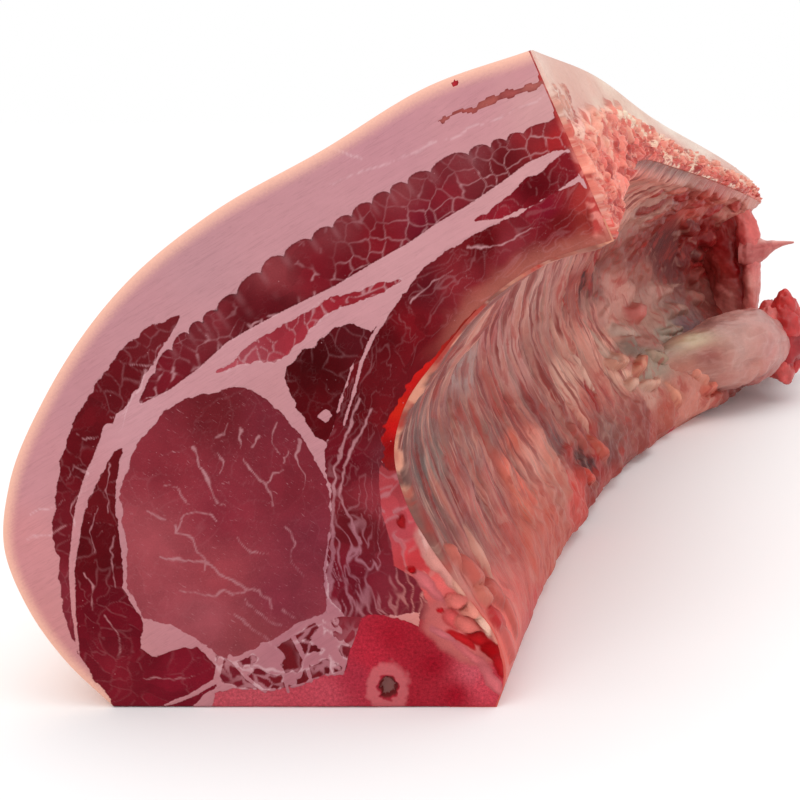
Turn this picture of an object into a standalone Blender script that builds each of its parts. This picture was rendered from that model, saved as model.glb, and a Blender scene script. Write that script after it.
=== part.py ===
"""A whole raw pork loin, bone in and skin on, lying on the flat face where the carcass was sawn in two.

One side holds the skin and back fat, the other the hollow of the rib cage. Every layer that shows on the
cut end runs the whole length of the loin, so each is a closed loft of its own outline on that cut:
back fat, cap muscle, loin eye, seam fat, rib muscle, small back muscle, rib cage and chine bone.
The tenderloin and the flank flap lie at the far end.

Blender 4.5, metres, +Z up. +Y runs from the cut end along the loin, and the loin bends towards +X.
"""

import bpy
import numpy as np

MM = 0.001

# ---------------------------------------------------------------- driving dimensions
# Outlines on the cut end are (across, up) in millimetres, from the lower inner corner of the chine.
CHINE_WIDTH = 133.0  # width of the sawn face that the loin rests on
GAP = 0.25  # half of the space between two neighbouring solids
BORDER_STEP = 14.5  # longest step between two points of an outline

# The skin side, from the sawn face round the back to the belly cut.
SKIN_SIDE = [
    (-CHINE_WIDTH, 0), (-149, 17), (-161, 36), (-168, 58), (-165, 80), (-152, 109),
    (-122, 149), (-94, 171), (-58, 191), (-24, 211), (8, 222),
]
# The hollow side, from the sawn face over the chine and up the ribs to the belly cut.
HOLLOW_SIDE = [
    (0, 0), (3, 12), (0, 25), (-10, 40), (-22, 57), (-31, 74), (-35, 92),
    (-31, 108), (-20, 124), (-6, 141), (12, 154), (36, 162),
]

# The loin bends and shrinks towards the flank end. Each row is a station along it:
# chine edge across, chine edge along, heading in degrees, width scale, belly height scale,
# belly wall scale, and how far the belly edge leans over towards the back.
STATIONS = [
    (33, 0, 0, 1.00, 1.00, 1.00, 0),
    (79, 195, 10, 0.98, 0.98, 0.62, -4),
    (138, 355, 20, 0.93, 0.90, 0.50, 1),
    (234, 534, 27, 0.86, 0.76, 0.44, 10),
    (292, 640, 31, 0.80, 0.66, 0.40, 17),
]
WALL_THINS_FROM = 0.35  # share of the way up the ribs where the belly wall starts to thin
FLANK_SLANT = 0.07  # how much sooner the belly edge ends than the chine
PLAN_CENTRE = (99.0, 350.0)  # middle of the loin's plan, which becomes the origin
LONG_RINGS = 11  # stations that each layer is lofted through

# ---------------------------------------------------------------- ribs, vertebrae and loose pieces
RIB_COUNT = 13
RIB_PITCH = 0.048  # share of the loin's length from rib to rib
RIB_HEIGHT = 2.4
RIB_LEAN = 0.05  # how far a rib leans towards the flank on its way up
RIB_STEPS = 4  # lofted rings for each rib
RIB_ROOT = 0.2  # how far up the ribs start to stand out
RIB_ROOT_FADE = 0.1
RIB_TIP_FADE = 0.06
RIB_END_FADE = 0.02
VERTEBRA_SWELL = 1.5
VERTEBRA_STEPS = 2  # lofted rings for each station
PROBE = 0.02  # share of the wall's thickness within which a point counts as on the hollow side

# The tenderloin lies on the chine. Each row is: place along the loin, height, radius.
TENDERLOIN = [
    (0.50, 30, 5), (0.57, 31, 13), (0.66, 32, 19), (0.75, 33, 23), (0.84, 33, 25),
    (0.92, 32, 26), (0.98, 33, 24), (1.01, 36, 16), (1.03, 34, 17), (1.055, 33, 6),
]
# The flank flap hangs below the belly edge. Each row is: across, up, half its thickness, half its width.
FLANK_FLAP = [
    (28, 104, 1.2, 1.5), (15, 108, 4, 6), (3, 111, 9, 14), (-7, 105, 13, 19), (-13, 93, 15, 20),
    (-17, 79, 14, 18), (-20, 67, 5, 7),
]
FLAP_ALONG = 0.93
TENDERLOIN_CLEAR = 2.0  # space between the chine and the tenderloin
LOOSE_AROUND = 16  # points round the tenderloin and the flap

# ---------------------------------------------------------------- borders on the cut end
# Places where three layers meet.
CAP_TIP = (-106, 137)
CAP_FORK = (-121, 111)
SIDE_TIP = (-130, 98)
EYE_SHOULDER = (-127, 90)
CAP_FOOT = (-144, 22)
BASE_FAT = (-129, 0)
BASE_BONE = (-98, 0)
SIDE_CORNER = (-96, 6)
EYE_FOOT = (-97, 20)
EYE_TOE = (-58.5, 35)
BONE_TOP = (-47, 31)
NECK = (-22, 27)
EYE_HEEL = (-58, 89)
LEAF_FOOT = (-57, 96)
LEAF_TOP = (-43, 133)
SPINDLE_LOW = (-37, 142)
SPINDLE_HIGH = (-31, 148)
CHINE_LIP = (2.4, 15.5)
# Where the layers end on the belly cut, as shares of the way from its hollow side to its skin side.
CUT_SHARES = {"fat": 0.667, "band": 0.567, "seam": 0.45, "cage": 0.14}


def on_belly_cut(name):
    """The point of the cut end's belly edge where that layer ends."""
    inner, outer = np.array(HOLLOW_SIDE[-1], float), np.array(SKIN_SIDE[-1], float)
    return tuple(inner + (outer - inner) * CUT_SHARES[name])


# Each border is a smooth line on the cut end between two layers.
BORDERS = {
    "skin": SKIN_SIDE,
    "fat_cut": [SKIN_SIDE[-1], on_belly_cut("fat")],
    "fat_band": [
        on_belly_cut("fat"), (-2, 195.5), (-22, 187.5), (-42, 177.5), (-62, 165), (-78, 156), (-92, 142.5),
        CAP_TIP,
    ],
    "fat_cap": [CAP_TIP, (-124, 127.5), (-138, 109), (-147.5, 86), (-151, 61), (-149, 39), CAP_FOOT],
    "fat_side": [CAP_FOOT, (-139, 10), BASE_FAT],
    "fat_base": [BASE_FAT, SKIN_SIDE[0]],
    "band_cut": [on_belly_cut("fat"), on_belly_cut("band")],
    "band_seam": [
        on_belly_cut("band"), (5, 184.5), (-14, 172), (-38, 157.5), (-64, 143), (-88, 131), (-106, 115.5),
        CAP_FORK,
    ],
    "cap_band": [CAP_FORK, (-113, 124), CAP_TIP],
    "cap_seam": [CAP_FORK, SIDE_TIP],
    "cap_side": [SIDE_TIP, (-138, 80), (-143, 62), (-145.5, 42), CAP_FOOT],
    "side_seam": [SIDE_TIP, EYE_SHOULDER],
    "side_eye": [EYE_SHOULDER, (-129, 70), (-127.5, 50), (-120, 31), (-108, 25), EYE_FOOT],
    "side_back": [EYE_FOOT, SIDE_CORNER],
    "side_bone": [SIDE_CORNER, BASE_BONE],
    "side_base": [BASE_BONE, BASE_FAT],
    "seam_cut": [on_belly_cut("band"), on_belly_cut("seam")],
    "seam_rib_high": [on_belly_cut("seam"), (12, 183.5), (-5, 171.5), (-18, 160.5), SPINDLE_HIGH],
    "seam_spindle_high": [SPINDLE_HIGH, (-50, 145), (-68, 136), (-82, 128.5), (-94, 118.5)],
    "seam_spindle_low": [(-94, 118.5), (-78, 122), (-66, 129), (-54, 138.5), SPINDLE_LOW],
    "spindle_rib": [SPINDLE_LOW, SPINDLE_HIGH],
    "seam_rib_low": [SPINDLE_LOW, LEAF_TOP],
    "seam_leaf": [LEAF_TOP, (-57, 132.5), (-69, 121.5), (-69.5, 110), LEAF_FOOT],
    "leaf_rib": [LEAF_FOOT, (-52.5, 109), (-49, 121), LEAF_TOP],
    "seam_rib_foot": [LEAF_FOOT, EYE_HEEL],
    "seam_eye": [EYE_HEEL, (-66, 97.5), (-77, 109), (-90, 113.5), (-107, 108.5), (-119, 98), EYE_SHOULDER],
    "eye_rib": [EYE_HEEL, (-56.5, 72), (-59, 50), EYE_TOE],
    "eye_back": [EYE_TOE, (-72, 28), (-84, 21), EYE_FOOT],
    "back_rib": [EYE_TOE, BONE_TOP],
    "back_bone": [SIDE_CORNER, (-78, 6.5), (-62, 11), (-51, 17), BONE_TOP],
    "rib_bone": [BONE_TOP, (-35, 32), NECK],
    "rib_cut": [on_belly_cut("seam"), on_belly_cut("cage")],
    "rib_cage": [
        on_belly_cut("cage"), (14, 160), (-3, 152), (-18, 136.5), (-32, 118), (-40, 96), (-40, 76), (-34, 54),
        (-24, 40), NECK,
    ],
    "cage_cut": [on_belly_cut("cage"), HOLLOW_SIDE[-1]],
    "cage_hollow": [HOLLOW_SIDE[-1], *HOLLOW_SIDE[-2:1:-1], CHINE_LIP],
    "cage_bone": [NECK, (-12, 19.5), CHINE_LIP],
    "bone_hollow": [CHINE_LIP, (2.8, 9), (0, 0)],
    "bone_base": [(0, 0), BASE_BONE],
}
# Each layer's outline, as the borders round it. A minus runs a border backwards.
LAYERS = {
    "back_fat": ["skin", "fat_cut", "fat_band", "fat_cap", "fat_side", "fat_base"],
    "cap_band_muscle": ["band_cut", "band_seam", "cap_band", "-fat_band"],
    "cap_side_muscle": ["-cap_band", "cap_seam", "cap_side", "-fat_cap"],
    "side_muscle": ["-cap_side", "side_seam", "side_eye", "side_back", "side_bone", "side_base", "-fat_side"],
    "seam_fat": [
        "seam_cut", "seam_rib_high", "seam_spindle_high", "seam_spindle_low", "seam_rib_low", "seam_leaf",
        "seam_rib_foot", "seam_eye", "-side_seam", "-cap_seam", "-band_seam",
    ],
    "loin_eye": ["eye_rib", "eye_back", "-side_eye", "-seam_eye"],
    "spindle_muscle": ["seam_spindle_high", "seam_spindle_low", "spindle_rib"],
    "leaf_muscle": ["seam_leaf", "leaf_rib"],
    "rib_muscle": [
        "rib_cut", "rib_cage", "-rib_bone", "-back_rib", "-eye_rib", "-seam_rib_foot", "leaf_rib",
        "-seam_rib_low", "spindle_rib", "-seam_rib_high",
    ],
    "back_muscle": ["eye_back", "side_back", "back_bone", "-back_rib"],
    "rib_cage": ["cage_cut", "cage_hollow", "-cage_bone", "-rib_cage"],
    "chine_bone": ["cage_bone", "bone_hollow", "bone_base", "-side_bone", "back_bone", "rib_bone"],
}
LOOKS = {  # colour and roughness
    "back_fat": ((0.78, 0.50, 0.46), 0.45),
    "cap_band_muscle": ((0.27, 0.035, 0.05), 0.40),
    "cap_side_muscle": ((0.30, 0.03, 0.05), 0.40),
    "side_muscle": ((0.25, 0.03, 0.05), 0.40),
    "seam_fat": ((0.78, 0.52, 0.50), 0.45),
    "loin_eye": ((0.40, 0.13, 0.13), 0.40),
    "spindle_muscle": ((0.45, 0.09, 0.10), 0.40),
    "leaf_muscle": ((0.24, 0.02, 0.04), 0.40),
    "rib_muscle": ((0.26, 0.03, 0.05), 0.40),
    "back_muscle": ((0.36, 0.07, 0.09), 0.40),
    "rib_cage": ((0.62, 0.26, 0.22), 0.35),
    "chine_bone": ((0.58, 0.08, 0.09), 0.50),
    "tenderloin": ((0.55, 0.26, 0.26), 0.35),
    "flank_flap": ((0.60, 0.22, 0.22), 0.35),
}


# ---------------------------------------------------------------- curves
def shares_along(points):
    """Each point's share of the way along the line through them all."""
    lengths = np.linalg.norm(np.diff(points, axis=0), axis=1)
    total = np.concatenate([[0], np.cumsum(lengths)])
    return total / total[-1]


def curve_at(points, knots, where):
    """Reads the smooth curve through points at any places between the knots, as a cubic on each stretch.

    The slope at a knot is the mean of its two stretches' slopes, each weighted by the other's length.
    """
    steps = np.diff(knots)
    sides = np.diff(points, axis=0) / steps[:, None]
    weights = (steps[:-1] / (steps[:-1] + steps[1:]))[:, None]
    slopes = np.vstack([sides[:1], sides[:-1] * (1 - weights) + sides[1:] * weights, sides[-1:]])
    where = np.asarray(where, float)
    cell = np.clip(np.searchsorted(knots, where, side="right") - 1, 0, len(steps) - 1)
    step = steps[cell]
    t = ((where - knots[cell]) / step)[..., None]
    step = step[..., None]
    return (
        (2 * t**3 - 3 * t**2 + 1) * points[cell]
        + (t**3 - 2 * t**2 + t) * step * slopes[cell]
        + (3 * t**2 - 2 * t**3) * points[cell + 1]
        + (t**3 - t**2) * step * slopes[cell + 1]
    )


def smooth_line(points):
    """Points along the smooth curve through a border's points, at most BORDER_STEP apart."""
    points = np.array(points, float)
    length = np.linalg.norm(np.diff(points, axis=0), axis=1).sum()
    count = int(np.ceil(length / BORDER_STEP))
    return curve_at(points, shares_along(points), np.linspace(0, 1, count + 1))


def smoothstep(value):
    value = np.clip(value, 0, 1)
    return value * value * (3 - 2 * value)


# ---------------------------------------------------------------- the loin's own coordinates
SKIN = np.array(SKIN_SIDE, float)
HOLLOW = np.array(HOLLOW_SIDE, float)
SKIN_KNOTS = shares_along(SKIN)
HOLLOW_KNOTS = shares_along(HOLLOW)
ALONG = np.array(STATIONS, float)
ALONG_KNOTS = shares_along(ALONG[:, :2])


def place(up, out, along):
    """A point of the loin, in metres.

    up is 0 at the sawn face and 1 at the belly cut, out is 0 on the hollow side and 1 at the skin,
    and along is 0 at the cut end and 1 at the flank end.
    """
    up, out, along = np.broadcast_arrays(up, out, along)
    along = along * (1 - FLANK_SLANT * up * along)
    row = curve_at(ALONG, ALONG_KNOTS, along)
    width, belly_height, belly_wall, lean = (row[..., i] for i in (3, 4, 5, 6))
    height = width + (belly_height - width) * up
    scale = np.stack([width, height], axis=-1)
    wall = 1 - (1 - belly_wall) * smoothstep((up - WALL_THINS_FROM) / (1 - WALL_THINS_FROM))
    skin = curve_at(SKIN, SKIN_KNOTS, up) * scale
    hollow = skin + (curve_at(HOLLOW, HOLLOW_KNOTS, up) * scale - skin) * wall[..., None]
    section = hollow + (skin - hollow) * out[..., None]
    across = section[..., 0] - lean * up**6
    heading = np.radians(row[..., 2])
    x = row[..., 0] + across * np.cos(heading) - PLAN_CENTRE[0]
    y = row[..., 1] - across * np.sin(heading) - PLAN_CENTRE[1]
    return np.stack([x, y, section[..., 1]], axis=-1) * MM


def beside_chine(along, across, height):
    """A point in metres, that far across from the chine's lower inner edge and that high."""
    row = curve_at(ALONG, ALONG_KNOTS, along)
    heading = np.radians(row[..., 2])
    x = row[..., 0] + across * np.cos(heading) - PLAN_CENTRE[0]
    y = row[..., 1] - across * np.sin(heading) - PLAN_CENTRE[1]
    return np.stack([x, y, np.broadcast_to(height, x.shape)], axis=-1) * MM


def up_and_out(outline):
    """Turns points on the cut end into (up, out): finds the line from hollow to skin that each lies on."""
    tries = np.linspace(0, 1, 4001)
    foot = curve_at(HOLLOW, HOLLOW_KNOTS, tries)
    line = curve_at(SKIN, SKIN_KNOTS, tries) - foot
    reach = outline[:, None, :] - foot[None]
    miss = line[None, :, 0] * reach[..., 1] - line[None, :, 1] * reach[..., 0]
    nearest = np.abs(miss / np.linalg.norm(line, axis=1)).argmin(axis=1)
    picked = np.arange(len(outline))
    share = (reach[picked, nearest] * line[nearest]).sum(axis=1) / (line[nearest] ** 2).sum(axis=1)
    up = np.where(outline[:, 1] == 0, 0.0, tries[nearest])
    return up, share


# ---------------------------------------------------------------- outlines
def outline_of(layer):
    """The layer's whole outline on the cut end, anticlockwise, drawn in from its neighbours by GAP."""
    parts = []
    for name in LAYERS[layer]:
        line = smooth_line(BORDERS[name.lstrip("-")])
        parts.append(line[::-1] if name.startswith("-") else line)
    for at in range(1, len(parts)):
        if not np.allclose(parts[at - 1][-1], parts[at][0]):
            parts[at] = parts[at][::-1]
    points = np.concatenate([part[:-1] for part in parts])
    if signed_area(points) < 0:
        points = points[::-1]
    ahead = np.roll(points, -1, axis=0) - points
    ahead /= np.linalg.norm(ahead, axis=1, keepdims=True)
    normal = np.stack([-ahead[:, 1], ahead[:, 0]], axis=-1)
    middle = normal + np.roll(normal, 1, axis=0)
    middle /= np.maximum((middle**2).sum(axis=1, keepdims=True) / 2, 0.4)
    drawn = points + middle * GAP
    drawn[points[:, 1] == 0, 1] = 0
    return drawn


def signed_area(points):
    after = np.roll(points, -1, axis=0)
    return (points[:, 0] * after[:, 1] - after[:, 0] * points[:, 1]).sum() / 2


# ---------------------------------------------------------------- rings of each shape
def layer_rings(layer):
    """The layer's outline on the cut end, carried to every station along the loin."""
    up, out = up_and_out(outline_of(layer))
    shares = np.linspace(0, 1, LONG_RINGS)
    return place(up[None], out[None], shares[:, None]), up, out


def finer(rings, steps):
    """Rings between the stations, on straight lines from ring to ring, so that neighbours still meet."""
    at = np.linspace(0, len(rings) - 1, steps)
    low = np.minimum(at.astype(int), len(rings) - 2)
    share = (at - low)[:, None, None]
    return rings[low] * (1 - share) + rings[low + 1] * share, at / (len(rings) - 1)


def rib_cage_rings():
    """The rib cage's rings, with the ribs standing out of its hollow side."""
    rings, up, out = layer_rings("rib_cage")
    rings, along = finer(rings, RIB_COUNT * RIB_STEPS + 1)
    up, along = up[None], along[:, None]
    into_hollow = place(up, -PROBE, along) - place(up, 0, along)
    into_hollow /= np.linalg.norm(into_hollow, axis=-1, keepdims=True)
    phase = (along - RIB_LEAN * up) / RIB_PITCH
    swell = 0.5 - 0.5 * np.cos(2 * np.pi * phase)
    thorax = smoothstep(RIB_COUNT - phase) * smoothstep(along / RIB_END_FADE)
    fades = smoothstep((up - RIB_ROOT) / RIB_ROOT_FADE) * smoothstep((1 - up) / RIB_TIP_FADE)
    height = RIB_HEIGHT * MM * swell * thorax * fades * (out[None] < PROBE)
    return rings + into_hollow * height[..., None]


def sideways(along):
    """The level direction across the loin, towards the hollow."""
    heading = np.radians(curve_at(ALONG, ALONG_KNOTS, along)[:, 2])
    return np.stack([np.cos(heading), -np.sin(heading), np.zeros_like(heading)], axis=-1)


def chine_rings():
    """The chine's rings, with a swell at each joint between two vertebrae on its hollow side."""
    rings, up, out = layer_rings("chine_bone")
    rings, along = finer(rings, VERTEBRA_STEPS * (LONG_RINGS - 1) + 1)
    swell = 0.5 - 0.5 * np.cos(np.pi * along / RIB_PITCH)
    height = VERTEBRA_SWELL * MM * swell[:, None] * (out < PROBE)
    return rings + sideways(along)[:, None] * height[..., None]


def round_rings(path, side, rise, half_side, half_rise):
    """Oval rings round the points of a path, with their half sizes along the side and rise directions."""
    turn = np.linspace(0, 2 * np.pi, LOOSE_AROUND, endpoint=False)
    return (
        path[:, None]
        + side[:, None] * (half_side[:, None] * np.cos(turn))[..., None]
        + rise[:, None] * (half_rise[:, None] * np.sin(turn))[..., None]
    )


def tenderloin_rings():
    """The tenderloin: round sections that stand upright on the way along the chine."""
    rows = np.array(TENDERLOIN, float)
    radius = rows[:, 2]
    path = beside_chine(rows[:, 0], radius + TENDERLOIN_CLEAR, rows[:, 1])
    rise = np.tile([0.0, 0.0, 1.0], (len(rows), 1))
    return round_rings(path, sideways(rows[:, 0]), rise, radius * MM, radius * MM)


def flank_flap_rings():
    """The flank flap: a pointed tip on the right that bends down into a thick hanging fold."""
    rows = np.array(FLANK_FLAP, float)
    along = np.full(len(rows), FLAP_ALONG)
    path = beside_chine(along, rows[:, 0], rows[:, 1])
    with_loin = np.cross([0.0, 0.0, 1.0], sideways(along))
    ahead = np.gradient(path, axis=0)
    ahead /= np.linalg.norm(ahead, axis=1, keepdims=True)
    across = np.cross(ahead, with_loin)
    across /= np.linalg.norm(across, axis=1, keepdims=True)
    return round_rings(path, across, with_loin, rows[:, 2] * MM, rows[:, 3] * MM)


# ---------------------------------------------------------------- Blender objects
def clear_scene():
    for thing in list(bpy.data.objects):
        bpy.data.objects.remove(thing, do_unlink=True)


def material(name):
    colour, roughness = LOOKS[name]
    made = bpy.data.materials.new(name)
    made.use_nodes = True
    shader = made.node_tree.nodes["Principled BSDF"]
    shader.inputs["Base Color"].default_value = (*colour, 1)
    shader.inputs["Roughness"].default_value = roughness
    shader.inputs["Metallic"].default_value = 0
    made.diffuse_color = (*colour, 1)
    return made


def loft_faces(rings):
    """Two triangles for each cell between two rings, folded inwards, so that neighbours never cross.

    The rings run anticlockwise as seen from ahead of the first, which makes every face point outwards.
    """
    count, around, _ = rings.shape
    index = np.arange(count * around).reshape(count, around)
    after = np.roll(index, -1, axis=1)
    a, b, c, d = (cells.reshape(-1) for cells in (index[:-1], index[1:], after[1:], after[:-1]))
    points = rings.reshape(-1, 3)
    lift = (np.cross(points[b] - points[a], points[c] - points[a]) * (points[d] - points[a])).sum(axis=1)
    by_ac = np.stack([a, b, c, a, c, d], axis=1)
    by_bd = np.stack([a, b, d, b, c, d], axis=1)
    triangles = np.where(lift[:, None] > 0, by_ac, by_bd).reshape(-1, 3)
    return triangles.tolist() + [index[0].tolist(), index[-1, ::-1].tolist()]


def loft(name, rings, collection, parent):
    """A closed solid through rings of points, with a flat face at each end."""
    mesh = bpy.data.meshes.new(name)
    mesh.from_pydata(rings.reshape(-1, 3).tolist(), [], loft_faces(rings))
    mesh.materials.append(material(name))
    mesh.shade_smooth()
    mesh.set_sharp_from_angle(angle=np.radians(40))
    solid = bpy.data.objects.new(name, mesh)
    collection.objects.link(solid)
    solid.parent = parent
    return solid


def build():
    clear_scene()
    collection = bpy.data.collections.new("raw_pork_loin")
    bpy.context.scene.collection.children.link(collection)
    whole = bpy.data.objects.new("loin", None)
    collection.objects.link(whole)
    special = {"rib_cage": rib_cage_rings, "chine_bone": chine_rings}
    for name in LAYERS:
        rings = special[name]() if name in special else layer_rings(name)[0]
        loft(name, rings, collection, whole)
    loft("tenderloin", tenderloin_rings(), collection, whole)
    loft("flank_flap", flank_flap_rings(), collection, whole)


build()
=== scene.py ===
# %% [markdown]
# # A raw pork loin, from its frame to its finish
#
# The loin is half a pig's back: skin and back fat outside, layers of muscle under it, the big pale loin eye
# in the middle, and the ribs and the sawn spine on the inner side. It lies on the face where the saw went
# down the spine. The solids come from the frame. This lesson puts a fine surface over each of them.

# %% Load the frame
from math import radians
import bpy
import numpy as np
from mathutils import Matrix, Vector


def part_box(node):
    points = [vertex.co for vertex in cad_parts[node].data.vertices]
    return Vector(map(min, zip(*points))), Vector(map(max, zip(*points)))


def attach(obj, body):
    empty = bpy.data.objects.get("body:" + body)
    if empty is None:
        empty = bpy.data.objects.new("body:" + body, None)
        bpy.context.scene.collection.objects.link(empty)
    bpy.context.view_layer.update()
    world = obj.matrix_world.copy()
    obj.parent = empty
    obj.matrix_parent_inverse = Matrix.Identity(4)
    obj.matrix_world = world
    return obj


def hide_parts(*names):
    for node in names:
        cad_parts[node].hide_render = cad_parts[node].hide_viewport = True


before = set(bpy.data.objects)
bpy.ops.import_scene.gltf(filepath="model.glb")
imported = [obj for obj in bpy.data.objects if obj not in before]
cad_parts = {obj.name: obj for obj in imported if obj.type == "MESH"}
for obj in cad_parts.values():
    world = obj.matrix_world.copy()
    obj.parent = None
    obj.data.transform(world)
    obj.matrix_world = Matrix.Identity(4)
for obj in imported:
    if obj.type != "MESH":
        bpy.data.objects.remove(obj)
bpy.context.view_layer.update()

MM = 0.001
print("frame nodes:", ", ".join(sorted(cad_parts)))

# %% [markdown]
# ## The loin's own coordinates
#
# A loin bends and shrinks from the ribs to the flank, so plain X, Y and Z are awkward to model in. It is
# easier to give it three directions of its own: *up* runs from the sawn spine round to the belly cut, *out*
# runs from the rib hollow to the skin, and *along* runs from the cut end to the flank end, each from 0 to 1.
# Everything on the loin is then a function of these three, and the bend is done in one place only.

# %% Driving dimensions, in millimetres
SKIN_SIDE = [
    (-133, 0), (-149, 17), (-161, 36), (-168, 58), (-165, 80), (-152, 109), (-122, 149), (-94, 171), (-58, 191),
    (-24, 211), (8, 222),
]
HOLLOW_SIDE = [
    (0, 0), (3, 12), (0, 25), (-10, 40), (-22, 57), (-31, 74), (-35, 92), (-31, 108), (-20, 124), (-6, 141),
    (12, 154), (36, 162),
]
# chine edge across, chine edge along, heading in degrees, width scale, belly height scale, wall scale, lean
STATIONS = [
    (33, 0, 0, 1.00, 1.00, 1.00, 0),
    (79, 195, 10, 0.98, 0.98, 0.62, -4),
    (138, 355, 20, 0.93, 0.90, 0.50, 1),
    (234, 534, 27, 0.86, 0.76, 0.44, 10),
    (292, 640, 31, 0.80, 0.66, 0.40, 17),
]
WALL_THINS_FROM = 0.35
FLANK_SLANT = 0.07


def shares_along(points):
    """Each point's share of the way along the line through them all: its summed chords over the total."""
    total = np.concatenate([[0], np.cumsum(np.linalg.norm(np.diff(points, axis=0), axis=1))])
    return total / total[-1]


def curve_at(points, knots, where):
    """Reads a smooth curve through points: on each stretch a cubic that meets the end points and slopes.

    The slope at a knot is the mean of its two stretches' slopes, each weighted by the other's length.
    """
    steps = np.diff(knots)
    sides = np.diff(points, axis=0) / steps[:, None]
    weights = (steps[:-1] / (steps[:-1] + steps[1:]))[:, None]
    slopes = np.vstack([sides[:1], sides[:-1] * (1 - weights) + sides[1:] * weights, sides[-1:]])
    where = np.asarray(where, float)
    cell = np.clip(np.searchsorted(knots, where, side="right") - 1, 0, len(steps) - 1)
    step = steps[cell]
    t = ((where - knots[cell]) / step)[..., None]
    step = step[..., None]
    return (
        (2 * t**3 - 3 * t**2 + 1) * points[cell] + (t**3 - 2 * t**2 + t) * step * slopes[cell]
        + (3 * t**2 - 2 * t**3) * points[cell + 1] + (t**3 - t**2) * step * slopes[cell + 1]
    )


def joined(*parts):
    """Several arrays of numbers as one array of places."""
    return np.stack(parts, axis=-1)


def turned(places, degrees):
    """Places (a, b) seen from axes turned by that angle: a cos + b sin, and b cos - a sin."""
    cos, sin = np.cos(radians(degrees)), np.sin(radians(degrees))
    return places[..., 0] * cos + places[..., 1] * sin, places[..., 1] * cos - places[..., 0] * sin


def smoothstep(value):
    """0 below 0, 1 above 1, and the S curve 3v^2 - 2v^3 between."""
    value = np.clip(value, 0, 1)
    return value * value * (3 - 2 * value)


# %% Place a point of the loin
SKIN, HOLLOW, ALONG = (np.array(rows, float) for rows in (SKIN_SIDE, HOLLOW_SIDE, STATIONS))
SKIN_KNOTS, HOLLOW_KNOTS, ALONG_KNOTS = shares_along(SKIN), shares_along(HOLLOW), shares_along(ALONG[:, :2])
LENGTH = np.linalg.norm(np.diff(ALONG[:, :2], axis=0), axis=1).sum()
plan_shift = np.zeros(2)


def beside_chine(along, across, height):
    """A point that far across from the chine's lower inner edge and that high, in metres."""
    row = curve_at(ALONG, ALONG_KNOTS, along)
    heading = np.radians(row[..., 2])
    x = row[..., 0] + across * np.cos(heading)
    y = row[..., 1] - across * np.sin(heading)
    return np.stack(np.broadcast_arrays(x + plan_shift[0], y + plan_shift[1], height), axis=-1) * MM


def place(up, out, along):
    """The point at (up, out, along) in metres: on the straight line from the hollow side to the skin side.

    Both sides are scaled by the station's width and height, and the belly wall is thinned towards the skin.
    """
    up, out, along = np.broadcast_arrays(np.asarray(up, float), out, along)
    along = along * (1 - FLANK_SLANT * up * along)
    row = curve_at(ALONG, ALONG_KNOTS, along)
    width, belly_height, belly_wall, lean = (row[..., i] for i in (3, 4, 5, 6))
    scale = joined(width, width + (belly_height - width) * up)
    wall = 1 - (1 - belly_wall) * smoothstep((up - WALL_THINS_FROM) / (1 - WALL_THINS_FROM))
    skin = curve_at(SKIN, SKIN_KNOTS, up) * scale
    hollow = skin + (curve_at(HOLLOW, HOLLOW_KNOTS, up) * scale - skin) * wall[..., None]
    section = hollow + (skin - hollow) * out[..., None]
    return beside_chine(along, section[..., 0] - lean * up**6, section[..., 1])


back_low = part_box("back_fat")[0]
reach = place(np.linspace(0, 1, 400)[:, None], 1.0, np.linspace(0, 0.2, 50)[None]).reshape(-1, 3)
plan_shift = np.array([back_low[0] - reach[:, 0].min(), back_low[1] - reach[:, 1].min()]) / MM
print("the loin is %.0f mm long and stands %.1f, %.1f mm off its plan" % (LENGTH, *plan_shift))


# %% Turn a place on the cut end into the loin's coordinates
CHUNK = 20000  # points worked out at a time, to spare memory


def up_and_out(section):
    """Finds (up, out) of points on the cut end: the line from hollow to skin that passes nearest, then
    the share of the way along that line. A coarse search is followed by steps of the secant rule."""
    tries = np.linspace(0, 1, 121)
    section = np.asarray(section, float)

    def miss(up, points):
        """How far the points lie beside the line from the hollow to the skin at up."""
        foot = curve_at(HOLLOW, HOLLOW_KNOTS, up)
        line = curve_at(SKIN, SKIN_KNOTS, up) - foot
        reach = points - foot
        return (line[..., 0] * reach[..., 1] - line[..., 1] * reach[..., 0]) / np.linalg.norm(line, axis=-1)

    up = np.empty(len(section))
    for start in range(0, len(section), CHUNK):
        part = slice(start, start + CHUNK)
        up[part] = tries[np.abs(miss(tries[None, :], section[part, None, :])).argmin(axis=1)]
    step = 1e-3
    for _ in range(3):
        here = miss(up, section)
        slope = (miss(np.clip(up + step, 0, 1), section) - miss(np.clip(up - step, 0, 1), section))
        slope /= np.clip(up + step, 0, 1) - np.clip(up - step, 0, 1)
        up = np.clip(up - np.clip(here / slope, -0.02, 0.02), 0, 1)
    foot = curve_at(HOLLOW, HOLLOW_KNOTS, up)
    line = curve_at(SKIN, SKIN_KNOTS, up) - foot
    out = ((section - foot) * line).sum(axis=1) / (line**2).sum(axis=1)
    return up, out


# %% [markdown]
# ## Borders between the layers
#
# On the cut end every layer meets its neighbours along a line. The lines are drawn once, by a few points
# each, and smoothed. Both neighbours read the same line, so no crack opens between their meshes.

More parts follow.
